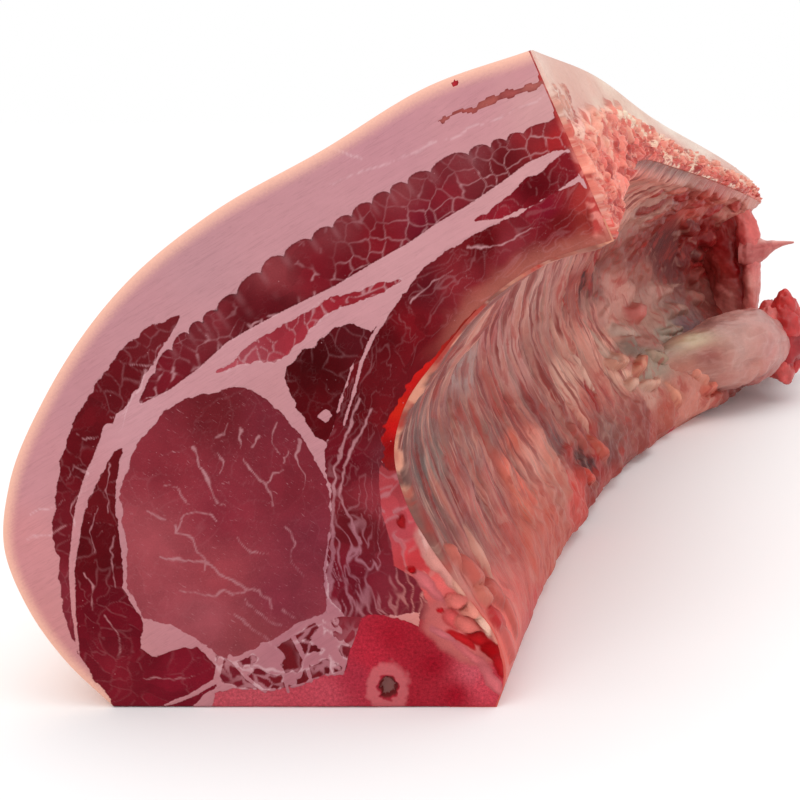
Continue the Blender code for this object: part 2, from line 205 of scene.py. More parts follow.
# %% Borders on the cut end: (across, up) in millimetres from the chine's lower inner edge
CAP_TIP, CAP_FORK, SIDE_TIP, EYE_SHOULDER, CAP_FOOT = (-106, 137), (-121, 111), (-130, 98), (-127, 90), (-144, 22)
BASE_FAT, BASE_BONE, SIDE_CORNER, EYE_FOOT, EYE_TOE = (-129, 0), (-98, 0), (-96, 6), (-97, 20), (-58.5, 35)
BONE_TOP, NECK, EYE_HEEL, LEAF_FOOT, LEAF_TOP = (-47, 31), (-22, 27), (-58, 89), (-57, 96), (-43, 133)
SPINDLE_LOW, SPINDLE_HIGH, CHINE_LIP = (-37, 142), (-31, 148), (2.4, 15.5)
CUT_SHARES = {"fat": 0.667, "band": 0.567, "seam": 0.45, "cage": 0.14}


def on_belly_cut(name):
    """The point of the cut end's belly edge where that layer ends: a share of the way along the edge."""
    return tuple(HOLLOW[-1] + (SKIN[-1] - HOLLOW[-1]) * CUT_SHARES[name])


BORDERS = {
    "skin": SKIN_SIDE[::-1],
    "fat_band": [
        on_belly_cut("fat"), (-2, 195.5), (-22, 187.5), (-42, 177.5), (-62, 165), (-78, 156), (-92, 142.5),
        CAP_TIP,
    ],
    "fat_cap": [CAP_TIP, (-124, 127.5), (-138, 109), (-147.5, 86), (-151, 61), (-149, 39), CAP_FOOT],
    "fat_side": [CAP_FOOT, (-139, 10), BASE_FAT],
    "band_seam": [
        on_belly_cut("band"), (5, 184.5), (-14, 172), (-38, 157.5), (-64, 143), (-88, 131), (-106, 115.5),
        CAP_FORK,
    ],
    "cap_band": [CAP_FORK, (-113, 124), CAP_TIP],
    "cap_seam": [CAP_FORK, SIDE_TIP],
    "cap_side": [SIDE_TIP, (-138, 80), (-143, 62), (-145.5, 42), CAP_FOOT],
    "side_seam": [SIDE_TIP, EYE_SHOULDER],
    "side_eye": [EYE_SHOULDER, (-129, 70), (-127.5, 50), (-120, 31), (-108, 25), EYE_FOOT],
    "side_back": [EYE_FOOT, SIDE_CORNER],
    "side_bone": [SIDE_CORNER, BASE_BONE],
    "seam_rib_high": [on_belly_cut("seam"), (12, 183.5), (-5, 171.5), (-18, 160.5), SPINDLE_HIGH],
    "spindle_high": [(-94, 118.5), (-82, 128.5), (-68, 136), (-50, 145), SPINDLE_HIGH],
    "spindle_low": [(-94, 118.5), (-78, 122), (-66, 129), (-54, 138.5), SPINDLE_LOW],
    "spindle_rib": [SPINDLE_HIGH, SPINDLE_LOW],
    "seam_rib_low": [SPINDLE_LOW, LEAF_TOP],
    "seam_leaf": [LEAF_TOP, (-57, 132.5), (-69, 121.5), (-69.5, 110), LEAF_FOOT],
    "leaf_rib": [LEAF_TOP, (-49, 121), (-52.5, 109), LEAF_FOOT],
    "seam_rib_foot": [LEAF_FOOT, EYE_HEEL],
    "seam_eye": [
        EYE_HEEL, (-66, 97.5), (-77, 109), (-90, 113.5), (-107, 108.5), (-119, 98), EYE_SHOULDER,
    ],
    "eye_rib": [EYE_HEEL, (-56.5, 72), (-59, 50), EYE_TOE],
    "eye_back": [EYE_FOOT, (-84, 21), (-72, 28), EYE_TOE],
    "back_rib": [EYE_TOE, BONE_TOP],
    "back_bone": [SIDE_CORNER, (-78, 6.5), (-62, 11), (-51, 17), BONE_TOP],
    "rib_bone": [BONE_TOP, NECK],
    "rib_cage": [
        on_belly_cut("cage"), (14, 160), (-3, 152), (-18, 136.5), (-32, 118), (-40, 96), (-40, 76),
        (-34, 54), (-24, 40), NECK,
    ],
    "cage_hollow": [*HOLLOW_SIDE[:1:-1], CHINE_LIP],
    "cage_bone": [NECK, CHINE_LIP],
    "bone_hollow": [CHINE_LIP, (2.8, 9), (0, 0)],
    "bone_base": [BASE_BONE, (0, 0)],
}
LINE_STEP = 0.25


def border(*names):
    """One fine line along several borders, end to end. A minus runs a border backwards."""
    parts = []
    for name in names:
        points = np.array(BORDERS[name.lstrip("-")], float)
        length = np.linalg.norm(np.diff(points, axis=0), axis=1).sum()
        line = curve_at(points, shares_along(points), np.linspace(0, 1, int(length / LINE_STEP) + 2))
        parts.append(line[::-1] if name.startswith("-") else line)
    line = np.concatenate(parts)
    kept = np.concatenate([[True], np.linalg.norm(np.diff(line, axis=0), axis=1) > 1e-6])
    return line[kept]


# Each layer lies between two lines that run the same way. Where both end in one place, it comes to a point.
LAYERS = {
    "back_fat": (["skin"], ["fat_band", "fat_cap", "fat_side"]),
    "cap_band_muscle": (["fat_band"], ["band_seam", "cap_band"]),
    "cap_side_muscle": (["fat_cap"], ["-cap_band", "cap_seam", "cap_side"]),
    "side_muscle": (["cap_side", "fat_side"], ["side_seam", "side_eye", "side_back", "side_bone"]),
    "seam_fat": (
        ["band_seam", "cap_seam", "side_seam"],
        ["seam_rib_high", "spindle_rib", "seam_rib_low", "leaf_rib", "seam_rib_foot", "seam_eye"],
    ),
    "loin_eye": (["-seam_eye"], ["side_eye", "eye_back", "-eye_rib"]),
    "spindle_muscle": (["spindle_high"], ["spindle_low", "-spindle_rib"]),
    "leaf_muscle": (["seam_leaf"], ["leaf_rib"]),
    "rib_muscle": (
        ["seam_rib_high", "spindle_rib", "seam_rib_low", "leaf_rib", "seam_rib_foot", "eye_rib", "back_rib"],
        ["rib_cage"],
    ),
    "back_muscle": (["eye_back", "back_rib"], ["back_bone"]),
    "rib_cage": (["rib_cage"], ["cage_hollow"]),
    "chine_bone": (["back_bone", "rib_bone", "cage_bone", "bone_hollow"], ["bone_base"]),
}
print(len(BORDERS), "borders,", len(LAYERS), "layers")

# %% [markdown]
# ## The drawing of the cut end
#
# A cut through a loin is a map: dark muscles lie in pale fat, and the muscles are split by thin white sinews.
# The map could be a picture, but a picture has a fixed size. Here it is a set of outlines. For each point of
# the mesh we measure how many millimetres it lies inside the nearest muscle, and the material turns that
# distance into a crisp, slightly ragged edge at any size.

# %% Muscles on the cut end: outlines (across, up), and tones (across, up, red, green, blue)
MEATS = {
    "eye": (
        [(-88, 114), (-106, 109), (-112, 105), (-116, 100), (-121, 94), (-123, 89.5), (-127.5, 79), (-127, 68),
        (-126, 57), (-126.5, 44), (-124, 39), (-121, 33), (-115, 31), (-110, 29.5), (-105, 26), (-99, 22), (-95, 19),
        (-91, 18.5), (-86, 21), (-81, 23.5), (-76, 26), (-70, 30), (-64.5, 33), (-58.5, 35.5), (-58.5, 41),
        (-59.5, 50), (-58, 59), (-56.5, 68), (-57, 75), (-58, 82), (-61, 88), (-64.5, 94), (-68, 99), (-72, 104),
        (-77, 109), (-82, 112.5)],
        [(-95, 106, 97, 28, 34), (-75, 103, 108, 37, 47), (-112, 88, 125, 44, 53), (-92, 70, 127, 45, 56),
        (-70, 80, 115, 38, 48), (-64, 60, 114, 43, 55), (-118, 60, 149, 74, 79), (-95, 48, 144, 65, 71),
        (-100, 34, 149, 78, 84), (-75, 40, 119, 47, 59), (-85, 28, 131, 62, 67)],
    ),
    "cap": (
        [(-105.5, 137.5), (-111, 135.5), (-116, 134), (-120, 130), (-124, 127), (-128, 122.5), (-131, 118.5),
        (-137, 110), (-141, 103), (-144.5, 95.6), (-147, 88), (-148.5, 80), (-150, 70), (-151, 61), (-149, 54),
        (-149.5, 47), (-149, 39.5), (-148, 32), (-146, 26), (-144, 20), (-144.5, 20), (-145.5, 36), (-145.5, 50),
        (-144, 62), (-141, 74), (-137, 84), (-131.5, 96), (-127.5, 104), (-123, 109), (-118.5, 116), (-113, 125),
        (-108, 133)],
        [(-112, 130, 102, 28, 34), (-126, 117, 88, 15, 22), (-141, 92, 91, 13, 21), (-147, 60, 98, 21, 30),
        (-147, 40, 117, 39, 49)],
    ),
    "spindle": (
        [(-94, 118.5), (-89, 122), (-85, 126), (-79, 130), (-74, 133.5), (-68, 136.5), (-63, 139), (-57.5, 143),
        (-49, 145), (-40.5, 148), (-33, 149), (-38, 146), (-45.5, 142.5), (-52.5, 140), (-57.5, 138), (-61.5, 134.5),
        (-65.5, 129.5), (-70, 125), (-74, 122), (-79, 122.5), (-85.5, 121.5), (-90.5, 119.5)],
        [(-85, 122, 153, 72, 80), (-70, 131, 141, 45, 55), (-50, 143, 137, 35, 45)],
    ),
    "leaf": (
        [(-71.5, 117.5), (-71, 114), (-69, 110), (-66.5, 105), (-64, 101), (-61, 97), (-58, 95.5), (-56, 99),
        (-54, 106), (-53, 110), (-50, 117.5), (-48.5, 122.5), (-44.5, 127.5), (-42.5, 132), (-49.5, 135),
        (-55, 133.5), (-59.5, 129.5), (-61.5, 127), (-66, 126), (-68.5, 122.5), (-70.3, 121)],
        [(-60, 120, 64, 3, 7), (-58, 103, 78, 6, 13), (-46, 130, 78, 15, 22)],
    ),
    "wedge": (
        [(-9, 168.5), (-4, 172), (2, 176.5), (7, 182), (12, 184), (16, 188), (21, 190.5), (26, 188.5), (24, 182.5),
        (17, 177.5), (12, 175), (6, 172), (-1, 169.5)],
        [(0, 172.5, 127, 27, 39), (10, 179, 85, 7, 16), (22, 186, 121, 27, 35)],
    ),
    "rib band": (
        [(24, 180.5), (15, 176.5), (10.5, 173), (3.5, 169.5), (-2, 167), (-9, 164), (-15, 160), (-20, 157), (-25, 153),
        (-29, 148), (-32.5, 144), (-35, 140), (-40, 135), (-44, 130), (-49, 120), (-52, 110), (-55, 100), (-58, 92),
        (-58, 85), (-56, 78), (-57, 60), (-58, 50), (-57, 40), (-52, 34), (-46, 33), (-23, 36), (-25, 42), (-27, 47),
        (-35, 52), (-36, 60), (-39, 70), (-40, 80), (-39.5, 90), (-37, 106.5), (-34.5, 114), (-29.5, 122),
        (-24.5, 129.5), (-14, 136), (-2, 144), (14, 153), (40, 160), (38, 170)],
        [(14, 172, 114, 18, 37), (-5, 162, 88, 5, 11), (-25, 147, 85, 15, 24), (-38, 130, 78, 7, 14),
        (-45, 105, 81, 8, 15), (-50, 88, 96, 12, 26), (-48, 66, 93, 17, 25), (-50, 48, 104, 21, 36),
        (-36, 44, 111, 35, 46), (-30, 134, 106, 15, 23), (-16, 148, 125, 37, 43), (2, 160, 117, 41, 47),
        (-40, 104, 99, 16, 23), (-42, 75, 129, 47, 55), (-36, 90, 97, 37, 45), (18, 168, 106, 20, 22),
        (28, 170, 136, 47, 40), (32, 176, 164, 59, 54)],
    ),
    "side": (
        [(-126, 93), (-127, 88), (-129, 80), (-129, 70), (-128, 60), (-127, 50), (-128, 44), (-124, 37), (-121, 30),
        (-122, 26), (-123, 22), (-119, 19), (-112, 21), (-105, 24), (-100, 20), (-96, 14), (-97, 8), (-103, 3),
        (-108, -2), (-133, -2), (-134.5, 5), (-139, 10), (-141, 15), (-144, 20), (-144.5, 36), (-144.3, 50),
        (-143, 60), (-139, 73), (-134, 83), (-129, 92)],
        [(-132, 80, 88, 15, 21), (-137, 55, 82, 8, 16), (-134, 35, 94, 11, 25), (-130, 15, 111, 25, 37),
        (-110, 12, 115, 22, 38), (-120, 22, 99, 14, 28)],
    ),
    "back": (
        [(-97, 20), (-96, 9), (-90, 7.5), (-78, 7), (-68, 9), (-60, 12.5), (-52, 14), (-50.5, 20), (-47, 28),
        (-46, 34), (-57, 33), (-63, 31), (-70, 26.5), (-77, 22.5), (-84, 19.5), (-91, 16.5)],
        [(-88, 14, 111, 29, 41), (-72, 16, 101, 24, 30), (-58, 22, 86, 11, 19), (-52, 28, 127, 45, 55)],
    ),
    "bone": (
        [(-47, 31.5), (-44.5, 35), (-40, 34), (-35, 32), (-29, 30), (-21, 25), (-15.5, 21), (-10, 18), (3.5, 16),
        (4, 8), (0, -2), (-98, -2), (-97, 5), (-90, 6.5), (-78, 5.5), (-68, 7.5), (-60, 11), (-52, 12), (-50.5, 20)],
        [(-35, 26, 153, 26, 43), (-22, 16, 143, 18, 36), (-14, 5, 149, 19, 38), (-43, 19, 174, 42, 59),
        (-48, 12, 159, 49, 65), (-60, 5, 182, 78, 90), (-85, 3, 180, 84, 93), (-30, 4, 153, 35, 49),
        (-3, 8, 196, 75, 88), (-8, 13, 190, 90, 100), (1, 12, 184, 56, 68), (-27, 24, 151, 31, 45)],
    ),
    "stripe": (
        [(-16, 136), (-22, 130), (-27, 123), (-32, 115), (-35.5, 107), (-38.5, 99), (-39.5, 91), (-38, 84), (-33, 84),
        (-32, 92), (-32, 99), (-29, 107), (-25, 114), (-19, 123), (-13, 131), (-9, 139)],
        [(-14, 136, 127, 37, 26), (-20, 130, 146, 31, 24), (-26, 122, 190, 27, 21), (-30, 113, 174, 23, 21),
        (-33, 106, 188, 37, 21), (-35, 99, 180, 21, 19), (-36, 93, 127, 8, 13), (-36, 87, 125, 25, 26)],
    ),
    "pleura": (
        [(-40, 80), (-39, 70), (-36, 60), (-35, 52), (-27, 47), (-25, 42), (-21, 35), (-20, 28), (-12, 18), (4, 17),
        (4, 30), (-2, 42), (-8, 50), (-15, 58), (-21, 68), (-27, 80), (-30, 86), (-40, 86)],
        [(-37, 78, 153, 62, 66), (-33, 65, 176, 76, 82), (-26, 55, 184, 61, 64), (-18, 44, 211, 108, 102),
        (-8, 36, 237, 92, 82), (-4, 26, 219, 62, 59), (-16, 26, 153, 16, 31), (0, 22, 173, 13, 19)],
    ),
}
# The band of cap muscle is drawn as its separate bundles, so its outline comes on its own.
BAND_OUTLINE = [
    (-119, 109), (-117, 113), (-114, 120), (-110, 126), (-104, 132), (-96, 138), (-89, 144), (-81, 151), (-75, 156),
    (-63, 163), (-53, 168.5), (-42, 175.5), (-30, 182), (-15.5, 189.5), (-4, 193), (7, 197), (18, 201), (25, 198),
    (23, 192), (16, 191.5), (7, 187.6), (-1, 181.5), (-12, 174), (-21.5, 168.5), (-31, 162), (-42.5, 155.5),
    (-55, 148), (-70.5, 140.5), (-81, 135), (-90.5, 129.5), (-100.5, 120.5), (-110, 113.5),
]
BAND_TONES = [
    (-112, 118, 108, 23, 34), (-95, 136, 111, 40, 46), (-75, 153, 123, 55, 58), (-55, 166, 116, 50, 54),
    (-32, 179, 118, 54, 57), (-10, 189, 114, 51, 55), (12, 197, 121, 39, 43), (-85, 138, 88, 19, 26),
    (-60, 152, 109, 22, 32), (-40, 163, 111, 21, 30), (-20, 175, 115, 29, 39), (0, 187, 96, 20, 26),
    (16, 194, 151, 38, 40), (-75, 139, 85, 15, 23), (-50, 152, 97, 13, 24), (-25, 167, 104, 18, 35),
]
FAT_TONES = [
    (-162, 60, 214, 150, 152), (-158, 30, 212, 148, 148), (-155, 85, 206, 150, 155), (-140, 115, 200, 148, 154),
    (-120, 140, 200, 150, 156), (-100, 155, 198, 151, 157), (-70, 175, 202, 152, 158), (-40, 195, 203, 150, 158),
    (-10, 207, 206, 152, 158), (10, 208, 214, 166, 166), (5, 215, 210, 156, 160), (-136, 8, 208, 148, 150),
    (-120, 105, 208, 158, 164), (-90, 124, 207, 156, 161), (-60, 140, 207, 156, 161), (-30, 155, 210, 160, 164),
    (10, 180, 214, 164, 166), (-75, 112, 203, 151, 155), (-60, 95, 200, 146, 152), (-125, 60, 196, 140, 146),
    (-100, 22, 200, 140, 146), (-70, 20, 186, 124, 134), (-50, 50, 176, 116, 130), (-20, 40, 226, 150, 140),
]
print(len(MEATS) + 1, "muscles and bones on the cut,", len(FAT_TONES), "tones of fat")

# %% White lines through the cut: the half width in millimetres at both ends, then lines of points (across, up)
SINEWS = {
    (2.4, 0.3): [
        [(-130, 99), (-133, 91), (-137.5, 82), (-140, 76), (-142, 68), (-143.5, 60), (-145, 50), (-145, 34),
         (-144, 20)],
    ],
    (0.5, 0.3): [
        [(-101.9, 93.5), (-100.8, 86.8), (-97.3, 81.9), (-96.2, 77.6), (-94.5, 74.1), (-92.3, 73.4)],
    ],
    (0.45, 0.3): [
        [(-85.3, 89.6), (-82.5, 84), (-78.2, 80.4), (-77.5, 76.9), (-75.8, 73)],
        [(-109.3, 65.6), (-108.6, 63.9), (-106.1, 70.2), (-102.9, 70.9), (-97.3, 70.2), (-95.2, 67.7)],
        [(-86.7, 40.2), (-81.8, 34.6), (-74, 30.3)],
    ],
    (0.4, 0.25): [
        [(-78.2, 80.4), (-76.1, 84), (-72.6, 85.4)], [(-94.8, 91), (-92.7, 88.2), (-93.8, 84)],
        [(-86.7, 99.5), (-87.1, 93.9)], [(-108.6, 63.9), (-102.9, 60.7), (-101.2, 55), (-98.7, 49.4)],
        [(-86, 44.4), (-88.1, 42), (-93, 42.7), (-96.6, 41.3), (-108.6, 43.4)],
    ],
    (0.35, 0.25): [
        [(-80.3, 97.4), (-82.8, 93.2)], [(-30, 141), (-24, 147), (-16, 152)],
    ],
    (0.5, 0.35): [
        [(-114.6, 55), (-112.1, 54), (-104.3, 54), (-97.3, 51.5), (-91.6, 47.3), (-86, 44.4), (-81.8, 43),
         (-78.2, 39.5), (-77.5, 36)],
    ],
    (0.4, 0.3): [
        [(-90.2, 33.9), (-84.6, 28.9), (-76.8, 23.3)], [(-74, 36), (-69.4, 33.5)],
    ],
    (0.4, 0.2): [
        [(-67, 97), (-68, 90), (-65, 84), (-66, 78)], [(-118, 120), (-119, 113), (-124, 106), (-130, 104)],
    ],
    (0.35, 0.2): [
        [(-72, 66), (-69, 60), (-70, 53), (-66, 47)], [(-124, 106), (-127, 99)], [(-138, 84), (-142, 86), (-145, 82)],
        [(-141, 78), (-144, 72), (-143, 66)], [(-141, 50), (-138, 44), (-139, 36)],
        [(-130, 62), (-132, 54), (-130, 44)], [(-74, 101), (-76, 96), (-73, 91)],
    ],
    (0.5, 0.9): [
        [(-46.4, 110), (-51.4, 94), (-55.6, 86.8), (-56.3, 74.8), (-55.6, 64.9), (-56.3, 53.7), (-57.4, 41)],
    ],
    (0.45, 0.6): [
        [(-42.2, 106.6), (-45.7, 98), (-52, 86.8), (-54.2, 76.2), (-49.2, 66.3), (-46.8, 59.3)],
    ],
    (0.8, 0.4): [
        [(-37, 139), (-42, 131), (-46, 122), (-48.5, 112), (-52, 101)],
    ],
    (0.45, 0.2): [
        [(-12, 161), (-4, 160), (6, 164), (13, 166)],
    ],
    (0.3, 0.2): [
        [(-56, 179.5), (-30, 190), (-5, 200), (15, 209)], [(-158, 70), (-152, 71), (-146, 75)],
        [(-160, 62), (-153, 62), (-147, 66)], [(-70, 192), (-56, 193), (-44, 187)],
        [(-112, 128), (-116, 122), (-122, 121)], [(-134, 96), (-138, 95), (-141, 98)],
        [(-130, 88), (-132, 78), (-131, 70)], [(-135, 72), (-138, 64), (-137, 56)],
        [(-134, 34), (-130, 26), (-131, 18)], [(-122, 12), (-112, 10), (-104, 12)],
        [(-90, 101), (-92, 97), (-96, 96)], [(-70, 92), (-72, 87)], [(-112, 80), (-107, 78), (-105, 73)],
        [(-118, 71), (-113, 68)], [(-88, 62), (-84, 57), (-78, 56)],
    ],
    (1.1, 0.5): [
        [(-95, 18), (-97, 10), (-107, 4), (-115, 1)],
    ],
    (0.8, 0.5): [
        [(-92, 19), (-86, 11), (-80, 6)],
    ],
    (0.8, 0.6): [
        [(-80, 21), (-74, 14), (-72, 6)],
    ],
    (1.0, 0.6): [
        [(-70, 26), (-66, 18), (-64, 10)],
    ],
    (0.7, 0.7): [
        [(-59, 32), (-56, 24), (-57, 13)],
    ],
    (0.5, 0.7): [
        [(-96, 15), (-84, 15.5), (-74, 13), (-66, 15), (-54, 17)],
    ],
}
# White patches laid over the muscles.
FAT_PATCHES = [
    [(-121, 31), (-110, 30), (-100, 23), (-108, 22), (-118, 20), (-122, 26)],
    [(-61, 103.5), (-58, 106), (-56, 104), (-58, 101.5)],
    [(-50, 139), (-44, 138), (-40, 135), (-43, 133.5), (-48, 135.5)],
]


def sdf(points, outline):
    """Signed distance in millimetres from points to a closed outline, positive inside.

    The distance is the least one to any side; a point is inside if a level ray from it crosses the outline
    an odd number of times.
    """
    points, outline = np.asarray(points, np.float32), np.asarray(outline, np.float32)
    after = np.roll(outline, -1, axis=0)
    result = np.empty(len(points), np.float32)
    for start in range(0, len(points), CHUNK):
        p = points[start:start + CHUNK, None]
        side = after - outline
        reach = p - outline
        share = np.clip((reach * side).sum(axis=2) / np.maximum((side**2).sum(axis=1), 1e-9), 0, 1)
        away = np.sqrt(((reach - side * share[..., None]) ** 2).sum(axis=2).min(axis=1))
        above = (outline[:, 1] > p[..., 1]) != (after[:, 1] > p[..., 1])
        rise = np.where(side[:, 1] == 0, 1e-9, side[:, 1])
        crossing = above & (p[..., 0] < outline[:, 0] + side[:, 0] * (p[..., 1] - outline[:, 1]) / rise)
        inside = crossing.sum(axis=1) % 2 == 1
        result[start:start + CHUNK] = np.where(inside, away, -away)
    return result


def line_depth(points, line, wide, narrow):
    """How far points lie inside a line whose half width runs from wide to narrow, positive inside."""
    line = np.asarray(line, np.float32)
    side = line[1:] - line[:-1]
    ends = shares_along(line)
    depth = np.full(len(points), -1e3, np.float32)
    low, high = line.min(axis=0) - 8, line.max(axis=0) + 8
    near = np.flatnonzero(((points > low) & (points < high)).all(axis=1))
    reach = points[near, None] - line[:-1]
    share = np.clip((reach * side).sum(axis=2) / (side**2).sum(axis=1), 0, 1)
    away = np.linalg.norm(reach - side * share[..., None], axis=2)
    best = away.argmin(axis=1)
    picked = np.arange(len(near))
    done = ends[best] + (ends[best + 1] - ends[best]) * share[picked, best]
    depth[near] = wide + (narrow - wide) * done - away[picked, best]
    return depth


def linear(colour):
    """Red, green and blue from 0 to 255 as linear light: c/12.92 below 0.04045, else ((c+0.055)/1.055)^2.4."""
    colour = np.asarray(colour, float) / 255
    return np.where(colour <= 0.04045, colour / 12.92, ((colour + 0.055) / 1.055) ** 2.4)


def tint(*colour):
    """Red, green and blue from 0 to 255 as a colour for a material."""
    return tuple(linear(colour))


def blended(points, tones, power=3.0):
    """The mean of all tones, each weighted by one over its distance to that power."""
    tones = np.asarray(tones, float)
    weight = 1 / (np.linalg.norm(points[:, None] - tones[None, :, :2], axis=2) + 1.5) ** power
    return weight @ linear(tones[:, 2:]) / weight.sum(axis=1, keepdims=True)


print(sum(map(len, SINEWS.values())), "sinews,", len(FAT_PATCHES), "fat patches")


# %% Bundles of fibres, as the cells round scattered seeds
SEED_ROWS, SEED_COLUMNS = 61, 67  # the table of seeds repeats after so many cells


def bundles(points, long, wide, angle, seed, wander=0.42):
    """The cells round seeds that are scattered on a leaning lattice of long by wide millimetres.

    Returns each point's distance to its cell's edge in millimetres, the place of its seed, and a random
    number of the cell. The edge lies halfway between the two nearest seeds.
    """
    table = np.random.default_rng(seed).random((SEED_ROWS, SEED_COLUMNS, 3))
    turn = radians(angle)
    axes = np.array([[np.cos(turn), np.sin(turn)], [-np.sin(turn), np.cos(turn)]])
    size = np.array([long, wide])
    place_in = points @ axes.T / size
    base = np.floor(place_in).astype(int)
    seeds, marks = [], []
    for right in (-1, 0, 1, 2, -2):
        for over in (-1, 0, 1):
            spot = base + (right, over)
            found = table[spot[:, 0] % SEED_ROWS, spot[:, 1] % SEED_COLUMNS]
            shifted = spot + 0.5 + (found[:, :2] - 0.5) * 2 * wander
            shifted[:, 0] += 0.5 * (spot[:, 1] % 2)
            seeds.append(shifted * size)
            marks.append(found[:, 2])
    seeds, marks = np.stack(seeds, axis=1), np.stack(marks, axis=1)
    here = (place_in * size)[:, None]
    nearest = np.linalg.norm(seeds - here, axis=2).argmin(axis=1)
    picked = np.arange(len(points))
    own = seeds[picked, nearest]
    gap = seeds - own[:, None]
    length = np.linalg.norm(gap, axis=2)
    middle = ((seeds + own[:, None]) / 2 - here) * gap
    edge = np.where(length > 1e-6, middle.sum(axis=2) / np.maximum(length, 1e-6), 1e3).min(axis=1)
    return edge, own @ axes, marks[picked, nearest]


edges, _, _ = bundles(np.random.default_rng(1).random((2000, 2)) * 100, 7.6, 4.8, 33, 5)
print("bundles are about %.1f mm from middle to edge" % (edges.max()))


# %% Soft random waves
WAVE_TABLE = 37  # the waves repeat after so many lattice steps


def drift(points, size, seed):
    """Soft random waves between -1 and 1: random numbers on a lattice of that size, joined by S curves."""
    points = np.asarray(points, float)
    count = points.shape[-1]
    table = np.random.default_rng(seed).uniform(-1, 1, (WAVE_TABLE,) * count)
    at = points / size
    base = np.floor(at).astype(int)
    share = smoothstep(at - base)
    total = np.zeros(points.shape[:-1])
    for corner in np.ndindex((2,) * count):
        weight = np.prod(np.where(corner, share, 1 - share), axis=-1)
        total += weight * table[tuple(np.moveaxis((base + corner) % WAVE_TABLE, -1, 0))]
    return total


def rough(points, size, seed, layers=3):
    """Waves on waves: each layer of drift is half as long and half as strong as the one before."""
    return sum(drift(points, size / 2**i, seed + i) / 2**i for i in range(layers))


waves = drift(np.arange(900.0)[:, None], 7, 1)
print("waves between %.2f and %.2f" % (waves.min(), waves.max()))

# %% The threads of each muscle, and the outlines they are measured from
# muscle, lowest and highest place, bundle length and width, lean in degrees, half width of the white lines,
# and how strongly they show
THREADS = [
    ("cap", 0, 140, 8, 3.4, 20, 0.04, 0.24), ("spindle", 0, 150, 13, 2.0, 30, 0.16, 0.7),
    ("leaf", 90, 140, 7, 5, 110, 0.04, 0.22), ("wedge", 160, 200, 14, 1.9, 32, 0.05, 0.24),
    ("rib band", 138, 200, 16, 2.2, 34, 0.04, 0.12), ("rib band", 92, 138, 17, 2.4, 66, 0.04, 0.14),
    ("rib band", 70, 92, 17, 2.4, 88, 0.04, 0.15), ("rib band", 30, 70, 19, 2.3, 102, 0.05, 0.18),
    ("side", 26, 100, 19, 3.0, 100, 0.02, 0.26), ("side", 0, 26, 13, 3.2, 8, 0.02, 0.22),
    ("back", 0, 40, 6.5, 3.6, 24, 0.55, 1.0), ("pleura", 44, 90, 22, 2.2, 114, 0.5, 0.6),
    ("eye", 0, 120, 8, 5, 52, 0.0, 0.13),
]
GROWN = {"bone": 0.8, "stripe": 0.8, "pleura": 1.0, "rib band": 0.3}
BAND_LEAN = 32.8
CANAL, CANAL_SIZE = np.array([-37.5, 7.5]), np.array([3.4, 4.2])
LOIN_OUTLINE = np.vstack([
    border("skin")[:-1:12], [SKIN_SIDE[0]], border("-bone_hollow")[:-1:12], border("-cage_hollow")[:-1:12],
    [HOLLOW_SIDE[-1]],
])
SKIN_LINE, HOLLOW_LINE = border("skin")[::12], border("cage_hollow")[::12]
FAT_SHADE = np.array([0.86, 0.77, 0.78])  # the fat is drawn a little deeper than its tones, because light fills it
MEAT_SHADE = np.array([1.09, 0.86, 0.92])
LUMP_RELIEF = 1.7


print(len(THREADS), "kinds of threads,", len(LOIN_OUTLINE), "points round the cut")


# %% Ragged edges, broken lines and the scalloped cap muscle
def wobbled(points, amount, size, seed):
    """The points moved about by soft waves, so that straight edges become uneven."""
    return points + amount * joined(rough(points, size, seed, 2), rough(points, size, seed + 9, 2))


def faint(edge, half, points, size, seed):
    """How strongly a thin white line shows: full within its half width, gone a third of a millimetre further
    out, and broken off where slow waves are low."""
    shown = smoothstep(0.75 + 1.2 * drift(points, size, seed))
    return shown * np.clip((half * (1 + 0.9 * drift(points, 3.1, seed + 1)) + 0.30 - edge) / 0.42, 0, 1)


def band_depth(points):
    """The cap muscle's outline, scalloped on the skin side, where each bundle bulges, and the thin lines
    between its bundles, clearer on the inner side. The scallops are half ellipses set side by side."""
    own = sdf(points, BAND_OUTLINE)
    turn = radians(BAND_LEAN)
    along, over = np.array([np.cos(turn), np.sin(turn)]), np.array([-np.sin(turn), np.cos(turn)])
    skin_side = smoothstep((points @ over - 158.5) / 5)
    reach = points @ along
    share = (reach / 8.2 + 0.45 * drift(reach[:, None], 19, 64)) % 1 * 2 - 1
    depth = own + 0.8 - 2.5 * (1 - np.sqrt(1 - share**2)) * skin_side
    bent = wobbled(wobbled(points, 1.3, 9, 65), 0.45, 2.4, 63)
    edge, _, mark = bundles(bent, 7.2, 4.0, BAND_LEAN + 3, 5, 0.42)
    line = faint(edge, 0.02 - 0.04 * skin_side, points, 16, 61) * (0.72 - 0.36 * skin_side)
    node = faint(edge, 0.20, points, 4.2, 67) * smoothstep(drift(points, 2.3, 68) * 2.4 - 0.4)
    cusp = np.clip(1.2 - 3.4 * (1 - np.abs(share)), 0, 1) * skin_side * smoothstep(1.5 - own / 5)
    return depth, own, mark, np.maximum(np.maximum(line, 0.8 * node * (1 - 0.6 * skin_side)), 0.16 * cusp)


depths, _, _, _ = band_depth(np.array([(-60.0, 150.0), (0.0, 20.0)]))
print("the cap muscle reaches %.1f mm deep in its middle" % depths[0])


# %% Which muscle a point lies in, and how deep
THIN = 0.7  # a line thinner than this is a veil over the meat; a thicker one parts it


